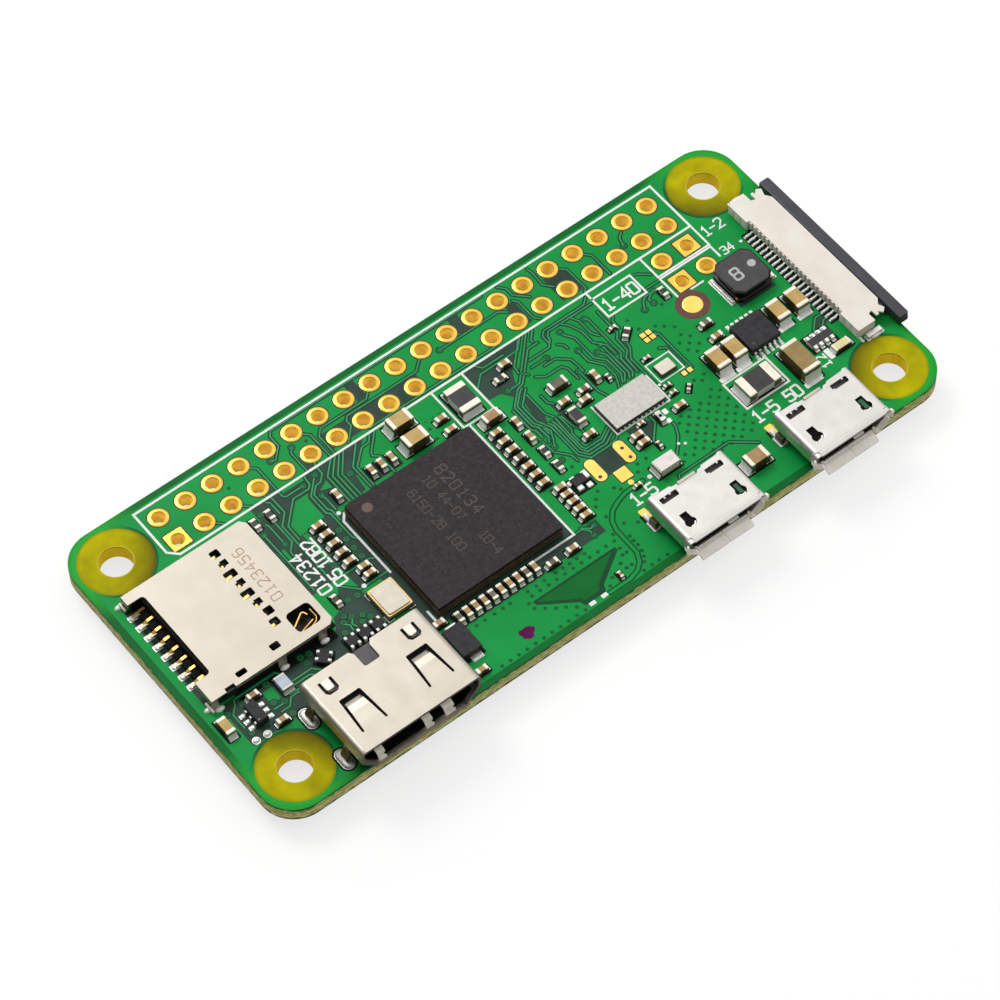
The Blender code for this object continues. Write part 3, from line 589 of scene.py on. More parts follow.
class Piece:
    """One visible piece: shapes in millimetres, each with its own finish."""

    def __init__(self, name, slot, node=None, body="board"):
        self.name, self.slot, self.node, self.body = name, slot, node, body
        self.points, self.faces, self.index, self.smooth, self.finishes = [], [], [], [], []

    def add(self, shape, finish_name, smooth=False):
        points, faces = shape
        if finish_name not in self.finishes:
            self.finishes.append(finish_name)
        n = len(self.points)
        self.points.extend(points)
        self.faces += [tuple(i + n for i in f) for f in faces]
        self.index += [self.finishes.index(finish_name)] * len(faces)
        self.smooth += [smooth] * len(faces)

    def finish(self, angle=35, flats=False):
        """Makes the object; flats keeps level and wide faces flat, against shading streaks."""
        mesh = bpy.data.meshes.new(self.name)
        mesh.from_pydata([(x * MM, y * MM, z * MM) for x, y, z in self.points], [], self.faces)
        for name in self.finishes:
            mesh.materials.append(FINISHES[name])
        mesh.polygons.foreach_set("material_index", self.index)
        mesh.polygons.foreach_set("use_smooth", self.smooth)
        bm = bmesh.new()
        bm.from_mesh(mesh)
        bmesh.ops.recalc_face_normals(bm, faces=bm.faces)
        # needle faces in the topmost plane can come out upside down
        highest = max(v.co.z for v in bm.verts)
        for f in bm.faces:
            if f.normal.z < 0 and all(highest - v.co.z < LEVEL for v in f.verts):
                f.normal_flip()
        bm.to_mesh(mesh)
        bm.free()
        mesh.update()
        mesh.set_sharp_from_angle(angle=math.radians(angle))
        for f in mesh.polygons:
            zs = [mesh.vertices[i].co.z for i in f.vertices]
            level = flats and max(zs) - min(zs) < LEVEL
            wide_level = abs(f.normal.z) > 0.9998 and (flats or f.area > WIDE_LEVEL_FACE)
            if f.use_smooth and (level or wide_level or (flats and f.area > WIDE_FACE)):
                f.use_smooth = False
        ob = linked_object(self.name, mesh)
        if any(self.smooth):
            weighted = ob.modifiers.new("w", "WEIGHTED_NORMAL")
            weighted.keep_sharp = True
            weighted.weight = 100
            baked = evaluated_mesh(ob)
            ob.modifiers.clear()
            ob.data = baked
            baked.name = self.name
            bpy.data.meshes.remove(mesh)
        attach(ob, self.body)
        if self.node:
            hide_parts(self.node)


def look(name, slot, node=None, body="board"):
    """Piece that stands in for a CAD node, which has the same name unless it is given."""
    return Piece("look_" + name, slot, node or name, body)


# ------------------------------------------------------------------ shader helpers
def rgba(colour):
    """8-bit sRGB colour as linear RGBA."""
    parts = [v / 255.0 for v in colour]
    return (*(v / 12.92 if v <= 0.04045 else ((v + 0.055) / 1.055) ** 2.4 for v in parts), 1)


def set_inputs(node, inputs):
    """Links each input that is given a socket and sets the others."""
    for key, value in inputs.items():
        if isinstance(value, bpy.types.NodeSocket):
            node.id_data.links.new(value, node.inputs[key])
        else:
            node.inputs[key].default_value = value


def add_node(tree, kind, inputs=None, **settings):
    node = tree.nodes.new("ShaderNode" + kind)
    for key, value in settings.items():
        setattr(node, key, value)
    set_inputs(node, inputs or {})
    return node


def map_range(tree, value, from_min=0.0, from_max=1.0, to_min=0.0, to_max=1.0):
    return add_node(tree, "MapRange", {
        "Value": value, "From Min": from_min, "From Max": from_max,
        "To Min": to_min, "To Max": to_max}).outputs["Result"]


def mix_colour(tree, factor, a, b):
    inputs = {"Factor": factor, "A": a, "B": b}
    return add_node(tree, "Mix", inputs, data_type="RGBA").outputs["Result"]


def noise(tree, vector, scale, detail):
    inputs = {"Vector": vector, "Scale": scale, "Detail": detail}
    return add_node(tree, "TexNoise", inputs).outputs["Fac"]


def scaled(tree, vector, scale):
    return add_node(tree, "Mapping", {"Vector": vector, "Scale": scale}).outputs["Vector"]


def math_node(tree, operation, first, second=None):
    inputs = {0: first} if second is None else {0: first, 1: second}
    return add_node(tree, "Math", inputs, operation=operation).outputs["Value"]


def corner_tint(tree, place, base, colour, full, none, centre=(SEAT_X, SEAT_Y)):
    """Tints by the distance in mm to a point mirrored into all four quarters of the board."""
    axes = add_node(tree, "SeparateXYZ", {"Vector": place}).outputs
    offsets = {}
    for axis, middle in zip("XY", centre):
        size = math_node(tree, "ABSOLUTE", axes[axis])
        offsets[axis] = math_node(tree, "SUBTRACT", size, middle * MM)
    away = add_node(tree, "CombineXYZ", offsets).outputs["Vector"]
    away = add_node(tree, "VectorMath", {0: away}, operation="LENGTH").outputs["Value"]
    amount = map_range(tree, away, full * MM, none * MM, 1.0, 0.0)
    return mix_colour(tree, amount, base, rgba(colour))


def strata_colour(tree, place, stops):
    """Stripes of a cut laminate edge: colours by share of the board height, raggedly offset."""
    axes = add_node(tree, "SeparateXYZ", {"Vector": place}).outputs
    ragged = noise(tree, scaled(tree, place, (1700.0, 1700.0, 5200.0)), 1.0, 3.0)
    height = math_node(tree, "MULTIPLY", axes["Z"], 1.0 / (TOP * MM))
    offset = map_range(tree, ragged, 0.25, 0.75, -0.16, 0.16)
    ramp = add_node(tree, "ValToRGB", {"Fac": math_node(tree, "ADD", height, offset)})
    elements = ramp.color_ramp.elements
    while len(elements) < len(stops):
        elements.new(0.5)
    for element, (position, colour) in zip(elements, stops):
        element.position = position
        element.color = rgba(colour)
    return ramp.outputs["Color"]


def finish(name, first=None, second=None, scale=1.6, rough=(0.4, 0.5), metal=0, bump=0.3,
           grain=10, depth=0.006, stretch=1, spec=0.5, detail=5, glow=0, speck=None,
           blotch=None, strata=None, tints=()):
    """Procedural finish.

    first, second: sRGB colours mixed by soft noise of this scale (per mm) and detail
    rough: roughness range, driven by the same noise
    bump, depth (mm), grain (per mm): strength, height and scale of the fine bump
    stretch: extra noise scale along z
    speck: (colour, threshold) of specks in the fine grain
    blotch: (colour, scale, strength) of large stains
    strata: (height share, colour) stops that take the place of the two colours
    tints: corner_tint settings; glow: light given off in the finish's own colour, painted light
    """
    material = bpy.data.materials.new(name)
    material.use_nodes = True
    tree = material.node_tree
    place = add_node(tree, "TexCoord").outputs["Object"]
    vector = scaled(tree, place, (1000.0, 1000.0, 1000.0 * stretch))
    soft = noise(tree, vector, scale, detail)
    fine = noise(tree, vector, grain, 3.0)
    if strata:
        colour = strata_colour(tree, place, strata)
    else:
        colour = mix_colour(tree, map_range(tree, soft, 0.32, 0.68), rgba(first), rgba(second))
    if speck:
        dots = map_range(tree, fine, speck[1], speck[1] + 0.06)
        colour = mix_colour(tree, dots, colour, rgba(speck[0]))
    if blotch:
        stains = map_range(tree, noise(tree, vector, blotch[1], 2.0), 0.40, 0.66, 0.0, blotch[2])
        colour = mix_colour(tree, stains, colour, rgba(blotch[0]))
    for tint in tints:
        colour = corner_tint(tree, place, colour, **tint)
    bumps = add_node(tree, "Bump", {"Strength": bump, "Distance": depth * MM, "Height": fine})
    shader = tree.nodes["Principled BSDF"]
    set_inputs(shader, {
        "Base Color": colour, "Metallic": metal, "Specular IOR Level": spec,
        "Roughness": map_range(tree, soft, to_min=rough[0], to_max=rough[1]),
        "Normal": bumps.outputs["Normal"]})
    if glow:
        set_inputs(shader, {"Emission Color": colour, "Emission Strength": glow})
    FINISHES[name] = material


# ------------------------------------------------------------------ finishes of the board
CORNER = (BOARD_X, BOARD_Y)
finish("mask_dark", (4, 100, 38), (10, 112, 48), scale=0.35, rough=(0.36, 0.48), bump=0.1, grain=4,
       spec=0.1, tints=[dict(colour=(30, 164, 50), full=3.3, none=5.2)])
finish("mask_over_copper", (4, 144, 60), (12, 156, 72), scale=0.22, rough=(0.34, 0.46), bump=0.12,
       grain=3, spec=0.12)
finish("mask_underside", (18, 140, 66), (32, 154, 78), scale=0.2, rough=(0.26, 0.38), bump=0.12,
       grain=3, spec=0.2)
finish("mask_gap", (2, 62, 32), (8, 76, 40), scale=0.5, rough=(0.3, 0.4), bump=0.1, grain=6,
       spec=0.15)
finish("mask_over_laminate", (34, 58, 48), (48, 72, 62), scale=0.5, rough=(0.32, 0.45), bump=0.2,
       grain=5, spec=0.18)
# mask over a track: lighter green, partly the real tone of mask over copper and partly a painted
# highlight of the track edges
finish("mask_over_track", (34, 138, 86), (58, 156, 104), scale=0.9, rough=(0.25, 0.35), bump=0.1,
       grain=6, spec=0.3)
finish("tented_hole", (2, 80, 38), (8, 92, 46), scale=1.2, rough=(0.3, 0.4), bump=0.1, grain=8,
       spec=0.15)
finish("tented_margin", (4, 112, 50), (8, 126, 58), scale=1.2, rough=(0.3, 0.4), bump=0.1,
       grain=8, spec=0.15)
finish("pad_clearance", (10, 40, 22), (16, 52, 28), scale=1.2, bump=0.1, grain=8)
# cut board edge: layered stripes of the laminate, and a glow that is painted light on the edge
finish("laminate_edge", scale=1.1, rough=(0.5, 0.65), bump=0.5, grain=14, depth=0.02, stretch=2.4,
       glow=0.42, strata=(
           (0.0, (58, 58, 34)), (0.10, (120, 116, 60)), (0.24, (206, 202, 146)),
           (0.36, (132, 126, 66)), (0.50, (196, 194, 128)), (0.62, (120, 124, 62)),
           (0.74, (178, 180, 112)), (0.86, (44, 96, 54)), (1.0, (24, 78, 44))))
# screw seat ring: the tints are painted shade, darker towards the ring's outer rim, and the ring
# turns browner away from the board corner
finish("laminate_ring", (182, 172, 0), (196, 186, 4), scale=0.8, rough=(0.5, 0.6), grain=5,
       spec=0.05, blotch=((140, 140, 10), 0.5, 0.55), tints=[
           dict(colour=(112, 132, 8), full=3.3, none=2.75),
           dict(colour=(94, 87, 13), full=8.2, none=5.5, centre=CORNER)])
# lip round a screw hole, glowing faintly as painted light
finish("laminate_lip", (180, 167, 8), (194, 181, 26), scale=1.2, grain=6, spec=0.25, glow=0.02)
finish("legend_ink", (228, 232, 228), (246, 247, 245), scale=1.5, rough=(0.5, 0.62), grain=14,
       depth=0.01)
finish("gold_plating", (244, 206, 98), (250, 218, 122), scale=1.2, rough=(0.24, 0.36), metal=0.9,
       bump=0.25, grain=7, depth=0.008)
# inside wall of a plated hole, glowing as painted light
finish("plated_barrel", (220, 180, 70), (236, 200, 92), rough=(0.3, 0.42), metal=0.25, bump=0.5,
       grain=7, depth=0.012, glow=0.42, blotch=((186, 140, 48), 1.3, 0.6))
finish("gold_spring", (206, 160, 76), (230, 190, 110), scale=2, rough=(0.26, 0.4), metal=1,
       grain=12)
finish("tinned_ring", (84, 40, 34), (104, 54, 44), scale=2, rough=(0.5, 0.6), bump=0.4)
finish("ink_mark", (84, 12, 70), (100, 20, 84), scale=2, rough=(0.5, 0.62), spec=0.08)
finish("seat_margin", (8, 84, 40), (14, 100, 48), scale=0.8, bump=0.1, grain=6, spec=0.15,
       tints=[dict(colour=(30, 164, 50), full=4.6, none=6.6, centre=CORNER)])
finish("track_ring", (12, 104, 60), (24, 122, 74), scale=1.2, rough=(0.3, 0.4), bump=0.1, grain=8,
       spec=0.15)
# wall of a screw hole, glowing as painted light
finish("seat_wall", (204, 178, 26), (220, 196, 50), rough=(0.5, 0.6), grain=8, spec=0.2, glow=0.30)
finish("gold_ring", (238, 192, 74), (248, 206, 96), scale=1.2, rough=(0.24, 0.36), metal=0.9,
       grain=7, depth=0.008)

# ------------------------------------------------------------------ finishes of the sockets
finish("card_socket_steel", (184, 176, 163), (194, 187, 175), scale=0.5, rough=(0.42, 0.52),
       metal=0.7, bump=0.15, grain=8, depth=0.003, blotch=((180, 171, 155), 0.4, 0.3))
finish("card_socket_cut_edge", (196, 184, 160), (214, 204, 182), scale=1.5, rough=(0.3, 0.45),
       metal=0.9, grain=12)
finish("video_socket_steel", (186, 178, 165), (196, 189, 178), scale=0.6, rough=(0.32, 0.42),
       metal=0.85, bump=0.15, grain=8, depth=0.003, blotch=((180, 171, 155), 0.35, 0.3))
finish("usb_socket_steel", (212, 209, 204), (222, 220, 216), scale=0.8, rough=(0.3, 0.4),
       metal=0.85, bump=0.12, grain=8, depth=0.003, blotch=((206, 203, 198), 0.5, 0.3))
finish("black_moulding", (22, 22, 24), (34, 33, 35), scale=0.9, rough=(0.36, 0.5), depth=0.008)
finish("grey_moulding", (66, 63, 67), (84, 81, 84), scale=1, rough=(0.42, 0.55), depth=0.008)
finish("cream_moulding", (230, 223, 211), (240, 235, 226), scale=0.5, rough=(0.42, 0.54),
       bump=0.35, grain=8, depth=0.01)
finish("slate_moulding", (48, 48, 56), (60, 60, 68), scale=0.6, rough=(0.3, 0.42), bump=0.35,
       grain=9, depth=0.01)
finish("engraved_marks", (150, 128, 100), (170, 148, 118), scale=2, rough=(0.45, 0.6), metal=0.2,
       grain=14)
# near-black matte finish of painted shade, for hollows, mouths and gaps where little light reaches
finish("dark_hollow", (12, 10, 11), (26, 22, 23), scale=1.4, rough=(0.6, 0.7), bump=0.2, grain=8,
       spec=0.08)
finish("contact_tail", (186, 172, 148), (222, 212, 192), scale=2.4, rough=(0.3, 0.42), metal=0.5,
       bump=0.6, grain=6, depth=0.02)
# darker copies of the socket steel, painted shade: the folded lip below a mouth, and the legs
finish("socket_lip_edge", (128, 120, 100), (156, 148, 128), rough=(0.36, 0.48), metal=0.6, grain=9)
finish("socket_leg", (84, 74, 54), (112, 100, 76), rough=(0.36, 0.48), metal=0.6, grain=9)
# green plate that glows as painted light, under a latch opening
finish("deep_green", (6, 58, 42), (12, 78, 54), scale=1, bump=0.1, grain=8, glow=0.6)
# lighter copy of the socket steel that glows: painted light on flanges, cheeks and latch lips
finish("socket_flange", (222, 215, 204), (238, 232, 223), scale=1.2, rough=(0.36, 0.48),
       metal=0.25, bump=0.15, grain=8, depth=0.003, glow=0.26)
# lighter steel that glows as painted light, for the ridges in a mouth
finish("socket_ridge", (206, 198, 182), (230, 224, 212), rough=(0.36, 0.48), metal=0.3, bump=0.2,
       grain=8, depth=0.004, glow=0.26)
# lighter steel that glows as painted light, for the raised faces of rear tabs
finish("socket_tab", (220, 214, 202), (234, 229, 219), scale=1.4, rough=(0.36, 0.48), metal=0.3,
       bump=0.2, grain=8, depth=0.004, glow=0.12)
finish("socket_shadow", (14, 18, 15), (24, 30, 25), scale=1.2, rough=(0.5, 0.6), bump=0.2, grain=8,
       spec=0.06)

# ------------------------------------------------------------------ finishes of the parts
finish("tin_lead", (220, 219, 214), (240, 239, 234), scale=1.8, rough=(0.26, 0.38), metal=0.8,
       bump=0.35, depth=0.01)
finish("solder", (238, 238, 233), (252, 252, 248), scale=2.2, rough=(0.32, 0.44), metal=0.2,
       bump=0.25, grain=5)
finish("part_end_metal", (234, 226, 208), (250, 244, 230), scale=2.4, rough=(0.36, 0.48),
       metal=0.3, bump=0.25, grain=8)
finish("package_moulding", (46, 41, 44), (60, 54, 56), scale=2.6, rough=(0.5, 0.62), bump=0.5,
       grain=7, depth=0.01, spec=0.12, speck=((78, 70, 72), 0.62), detail=8)
finish("package_side", (26, 23, 25), (38, 34, 35), scale=1, rough=(0.5, 0.62), bump=0.5, grain=12,
       depth=0.012, spec=0.2)
finish("package_substrate", (70, 50, 30), (98, 72, 44), rough=(0.5, 0.6), bump=0.4, grain=12,
       depth=0.01)
finish("moulded_dot", (88, 66, 58), (104, 80, 70), scale=2.5, rough=(0.5, 0.6), bump=0.4, grain=12)
finish("package_marking", (66, 57, 48), (78, 67, 55), scale=2, rough=(0.5, 0.65), grain=14)
finish("chip_moulding", (38, 37, 40), (54, 52, 56), scale=1.8, rough=(0.45, 0.58), bump=0.4,
       grain=12, depth=0.008, spec=0.2, speck=((76, 73, 76), 0.66))
finish("chip_marking", (120, 118, 114), (146, 144, 140), scale=2, rough=(0.5, 0.6), bump=0.2,
       grain=12)
finish("capacitor_body", (166, 130, 80), (186, 150, 98), rough=(0.34, 0.48), bump=0.45,
       depth=0.01, blotch=((146, 108, 64), 1.2, 0.5))
finish("capacitor_body_large", (142, 116, 58), (160, 134, 74), scale=1.3, rough=(0.34, 0.48),
       bump=0.45, depth=0.01)
finish("capacitor_body_dark", (184, 148, 76), (202, 168, 96), scale=1.8, rough=(0.36, 0.5),
       bump=0.45, depth=0.01)
finish("part_body_grey", (84, 78, 66), (112, 104, 88), scale=1.8, rough=(0.38, 0.5), bump=0.45,
       depth=0.01)
finish("resistor_top", (30, 29, 30), (44, 42, 42), rough=(0.36, 0.5), grain=12, depth=0.008)
finish("resistor_ceramic", (214, 210, 204), (232, 230, 224), rough=(0.4, 0.55), grain=12,
       depth=0.008)
finish("filter_body", (236, 224, 220), (246, 238, 234), scale=1.4, rough=(0.36, 0.5), depth=0.008)
finish("coil_body", (176, 186, 204), (200, 208, 222), scale=1.4, rough=(0.3, 0.42), depth=0.008)
finish("crystal_lid", (190, 182, 168), (202, 195, 182), scale=1.1, rough=(0.36, 0.46), metal=0.6,
       grain=8, depth=0.008)
finish("crystal_rim", (206, 176, 104), (226, 198, 130), rough=(0.28, 0.4), metal=0.95,
       depth=0.008)
finish("crystal_ceramic", (60, 52, 40), (86, 76, 60), rough=(0.5, 0.6), depth=0.008)
finish("radio_lid", (186, 183, 176), (206, 203, 196), scale=3, metal=0.3, bump=0.35, grain=12,
       depth=0.005, detail=8, speck=((220, 218, 212), 0.62))
# sides of the radio in a dark finish, painted shade below its lid
finish("radio_side", (34, 32, 30), (54, 50, 46), grain=12)
finish("ferrite_top", (48, 46, 49), (62, 60, 63), scale=2, rough=(0.45, 0.55), bump=0.5, grain=9,
       depth=0.012)
finish("ferrite_side", (16, 14, 15), (28, 25, 26), scale=0.9, rough=(0.3, 0.4), grain=6,
       depth=0.008, spec=0.25)
finish("copper_winding", (190, 112, 66), (216, 140, 88), scale=2, rough=(0.28, 0.4), metal=0.95)
finish("blue_mark", (60, 110, 200), (84, 136, 216), scale=2)
finish("led_lens", (226, 212, 150), (240, 230, 178), rough=(0.26, 0.4), depth=0.008)
finish("part_code_mark", (178, 168, 150), (204, 196, 180), scale=2, rough=(0.45, 0.6), grain=14)
finish("printed_dot", (172, 172, 172), (192, 192, 192), rough=(0.5, 0.6), bump=0.2, grain=8)
# darker copies for the sides of chip parts, painted shade: body sides and metal end sides
finish("part_side_dark", (66, 48, 24), (96, 72, 40), scale=2, spec=0.2)
finish("part_end_side", (92, 80, 56), (132, 118, 90), scale=2, rough=(0.36, 0.48), metal=0.3,
       grain=9, spec=0.3)
# painted shadow: near-black plate on the board round and under parts
finish("part_margin", (8, 30, 20), (14, 42, 28), scale=1.4, rough=(0.5, 0.6), bump=0.2, grain=8,
       spec=0.08)
finish("small_crystal_lid", (212, 203, 186), (224, 216, 201), scale=1.4, rough=(0.36, 0.48),
       metal=0.4, grain=8)

# ------------------------------------------------------------------ numerals
# strokes of each character, in units of its height; a character is 0.6 wide
GLYPHS = {
    " ": [],
    "0": [[(0.3, 0), (0.52, 0), (0.6, 0.1), (0.6, 0.9), (0.52, 1), (0.3, 1)],
          [(0.3, 1), (0.08, 1), (0, 0.9), (0, 0.1), (0.08, 0), (0.3, 0)]],
    "1": [[(0.12, 0.8), (0.32, 1), (0.32, 0)], [(0.1, 0), (0.54, 0)]],
    "2": [[(0, 0.88), (0.1, 1), (0.5, 1), (0.6, 0.88), (0.6, 0.62), (0, 0), (0.6, 0)]],
    "3": [[(0, 0.9), (0.1, 1), (0.5, 1), (0.6, 0.9), (0.6, 0.62), (0.48, 0.52), (0.2, 0.52)],
          [(0.48, 0.52), (0.6, 0.42), (0.6, 0.1), (0.5, 0), (0.1, 0), (0, 0.1)]],
    "4": [[(0.46, 0), (0.46, 1), (0, 0.34)], [(0, 0.34), (0.62, 0.34)]],
    "5": [[(0.58, 1), (0.04, 1), (0.02, 0.56), (0.46, 0.58), (0.6, 0.46), (0.6, 0.12),
           (0.48, 0), (0.1, 0), (0, 0.1)]],
    "6": [[(0.56, 0.92), (0.46, 1), (0.12, 1), (0, 0.88), (0, 0.12), (0.1, 0), (0.5, 0),
           (0.6, 0.12), (0.6, 0.44), (0.5, 0.55)], [(0.5, 0.55), (0, 0.52)]],
    "7": [[(0, 1), (0.6, 1), (0.22, 0)]],
    "8": [[(0.12, 0.53), (0, 0.64), (0, 0.9), (0.1, 1), (0.5, 1), (0.6, 0.9), (0.6, 0.64),
           (0.48, 0.53)], [(0.12, 0.53), (0.48, 0.53)],
          [(0.12, 0.53), (0, 0.42), (0, 0.1), (0.1, 0), (0.5, 0), (0.6, 0.1), (0.6, 0.42),
           (0.48, 0.53)]],
    "-": [[(0.05, 0.5), (0.55, 0.5)]],
}


def numerals(piece, text, x, y, height, finish_name, z0, z1, width, pitch=0.0, turn=0.0):
    """Row of numerals from its lower left corner; width is that of the strokes."""
    c, s = math.cos(turn), math.sin(turn)
    for i, character in enumerate(text):
        for stroke in GLYPHS[character]:
            path = []
            for u, v in stroke:
                px, py = u * height + i * pitch, v * height
                path.append((x + px * c - py * s, y + px * s + py * c))
            piece.add(track(path, width, z0, z1), finish_name)


# ------------------------------------------------------------------ board laminate
board = Piece("board_laminate", "board_green", "pcb")
board_outline = round_rect(-BOARD_X, BOARD_X, -BOARD_Y, BOARD_Y, BOARD_CORNER, 12)
drilled = [circle(x, y, 0.54, 20) for x, y in HOLES] + [slot_loop(x, y) for x, y in SLOTS]
screw_holes = [circle(x, y, SEAT_HOLE, 40) for x, y in SEATS]
seat_openings = [circle(x, y, SEAT_RING, 48) for x, y in SEATS]
board.add(fill(board_outline, drilled + screw_holes, 0.03, TOP - 0.02), "laminate_edge")
board.add(fill(board_outline, drilled + seat_openings, 0, 0.03), "mask_underside")
board.add(fill(board_outline, drilled + seat_openings, TOP - 0.02, TOP), "mask_dark")
# raised lip round the upper end of a screw hole: (radius, z)
LIP = [(1.372, TOP - 0.12), (1.372, TOP - 0.004), (1.39, TOP + 0.002), (1.44, TOP - 0.004),
       (1.48, TOP - 0.011), (1.48, TOP - 0.02), (1.40, TOP - 0.12)]
for x, y in SEATS:
    for lo, hi in ((0.012, 0.03), (TOP - 0.02, TOP - 0.008)):
        board.add(annulus(x, y, SEAT_HOLE, SEAT_RING + 0.01, lo, hi, 48), "laminate_ring")
    # hole wall and lip glow as painted light
    board.add(annulus(x, y, 1.368, 1.39, 0.02, TOP - 0.1, 48), "seat_wall", True)
    board.add(lathe(LIP, x, y, 40, closed=True), "laminate_lip", True)
board.finish()

# ------------------------------------------------------------------ plated holes and leg slots
# barrel section (radius, z): inner wall, rim on the component side, rim on the underside
BARREL_START = [(0.51, TOP - 0.06), (0.535, TOP + 0.012)]
ROUND_RIM = [(0.58, Z_PAD + 0.016), (0.66, Z_PAD + 0.008), (0.83, Z_PAD + 0.004),
             (0.845, Z_PAD - 0.006), (0.845, TOP)]
SQUARE_RIM = [(0.58, Z_PAD + 0.018), (0.62, Z_PAD + 0.006), (0.62, TOP)]
BARREL_END = [(0.54, TOP - 0.02), (0.54, 0.02), (0.845, 0), (0.845, -0.02), (0.82, -0.028),
              (0.6, -0.03), (0.53, -0.01), (0.51, 0.06)]


def square_loop(x, y, half, r):
    return round_rect(x - half, x + half, y - half, y + half, r, 2)


plating = Piece("board_plating", "gold")
for x, y in HOLES:
    square = (x, y) in SQUARE_PINS
    if square:
        plating.add(fill(square_loop(x, y, 0.84, 0.06), [circle(x, y, 0.56, 24)],
                         Z_POUR - 0.004, Z_PAD + 0.008), "gold_ring")
        plating.add(fill(square_loop(x, y, 0.97, 0.1), [square_loop(x, y, 0.83, 0.06)],
                         TOP - 0.002, Z_CLEAR), "pad_clearance")
    profile = BARREL_START + (SQUARE_RIM if square else ROUND_RIM) + BARREL_END
    plating.add(lathe(profile, x, y, 28, closed=True), "gold_ring", True)
    # barrel wall in a finish that glows as painted light
    plating.add(annulus(x, y, 0.50, 0.515, 0.07, TOP - 0.07, 24), "plated_barrel", True)
    if not square:
        plating.add(annulus(x, y, 0.84, 0.955, TOP - 0.002, Z_CLEAR, 28), "pad_clearance")
for x, y in SLOTS:
    for z in (TOP - 0.002, -0.022):
        plating.add(fill(slot_loop(x, y, 0.14), [slot_loop(x, y, 0.02)], z, z + 0.024), "tin_lead")
plating.finish()


# ------------------------------------------------------------------ mask over copper, bare patches
def pour_outline(margin, radius=3.27):
    """Edge of the copper pour, margin from the board edge and curving round the screw seats."""
    open_angle = math.acos((SEAT_INSET - margin) / radius)
    sweep = 2 * open_angle - 1.5 * math.pi
    turns = [-open_angle + sweep * i / 30 for i in range(31)]
    outline = []
    for sx, sy in ((1, 1), (-1, 1), (-1, -1), (1, -1)):
        arc = [(radius * math.cos(t), radius * math.sin(t)) for t in turns]
        if sx * sy < 0:
            arc = [(b, a) for a, b in arc]
        outline += [(sx * SEAT_X + sx * a, sy * SEAT_Y + sy * b) for a, b in arc]
    return outline


def solid_object(shapes):
    points, faces = [], []
    for shape_points, shape_faces in shapes:
        n = len(points)
        points += shape_points
        faces += [tuple(i + n for i in f) for f in shape_faces]
    bm = to_bm((points, faces))
    bmesh.ops.recalc_face_normals(bm, faces=bm.faces)
    return linked_object("tmp", mesh_from_bm(bm))


def bare_shapes(outlines, lo, hi):
    """Thin patches with the drilled holes taken out."""
    patches = solid_object(prism(p, lo, hi + 0.0006 * (k % 3)) for k, p in enumerate(outlines))
    cutters = solid_object(prism(circle(x, y, 0.9, 20), lo - 1, hi + 1) for x, y in HOLES)
    cut = patches.modifiers.new("b", "BOOLEAN")
    cut.operation = "DIFFERENCE"
    cut.solver = "EXACT"
    cut.use_self = True
    cut.object = cutters
    shape = take_shape(patches)
    mesh = cutters.data
    bpy.data.objects.remove(cutters)
    bpy.data.meshes.remove(mesh)
    return shape


# outlines of the patches without copper
BARE = [
    rect(-5.6, -4.7, 11.9, 13.8), rect(4.6, 5.6, 12, 13.8), rect(9, 9.9, 9.5, 12),
    rect(-16.2, -15.6, 9.2, 9.9), rect(-12.4, -11.9, 9.2, 10.5), rect(-9.9, -0.5, 9.5, 11.2),
    rect(13, 15, 9.5, 12.2),
    [(-19.3, 9), (-7.3, 9), (-8.2, 8.1), (-9.2, 7.1), (-9.2, 6.9), (-9.9, 6.4), (-10.1, 4.9),
     (-13.3, 4.9), (-13.3, -2), (-15.9, -2.2), (-16, 4.5), (-16.6, 4.6), (-19.3, 4.6)],
    rect(-14.1, -12.7, -8.1, -1.9), rect(-13.3, -12.7, -1.9, 4.3), rect(-0.9, -0.05, -8.35, 4.65),
    rect(-12.8, -0.8, 4, 4.45), rect(-12.8, -0.8, -8.4, -7.8),
    [(-19.3, 4.6), (-16.4, 4.6), (-16.4, -0.3), (-19.3, -0.3)],
    [(2.5, 8.9), (8, 8.9), (7.2, 8.1), (5.6, 6.6), (4.9, 5.2), (4.2, 4.6), (3.6, 5.5), (2.5, 5.6)],
    rect(5.35, 7.2, -5.8, -3.7), rect(-4, 2, -9.6, -8.3), rect(-12.3, -4, -9.75, -8.15),
    rect(-15.9, -14.3, -0.6, 5), rect(0.1, 1.6, -3.8, 3.2), rect(0.9, 2.3, -8.1, -4),
    rect(-9.3, -6.3, 5, 6.6),
    [(4.5, 3.75), (5, 4), (5.05, 1.95), (4.75, 1.1), (4.3, 1.3), (4.35, 2.6)],
    [(5.9, 2.4), (6.5, 1.9), (6.5, -0.4), (6, -0.4)],
    [(-19, -2.9), (-18.4, -2.7), (-17.2, -1), (-15.9, -2.3), (-15.9, -5.9), (-19.9, -5.9),
     (-19.6, -4)],
    rect(-22.3, -19.6, -7.2, -3.9), rect(-20.4, -16, -7.7, -5.9), rect(-27.4, -22, -8.2, -3.9),
    [(-30.4, -3.9), (-27.4, -3.9), (-27.4, -8.2), (-30.4, -8.2)],
    rect(-31.2, -30, -3.4, 7.3),
    [(10.8, -3.4), (11.3, -3.9), (10.1, -5.3), (9, -5.3), (9, -3.4)],
    [(28.3, -4.2), (27.5, -4.2), (26.4, -5.3), (27, -5.5), (28.3, -5)],
    rect(23.6, 27.2, 0.2, 1),
]
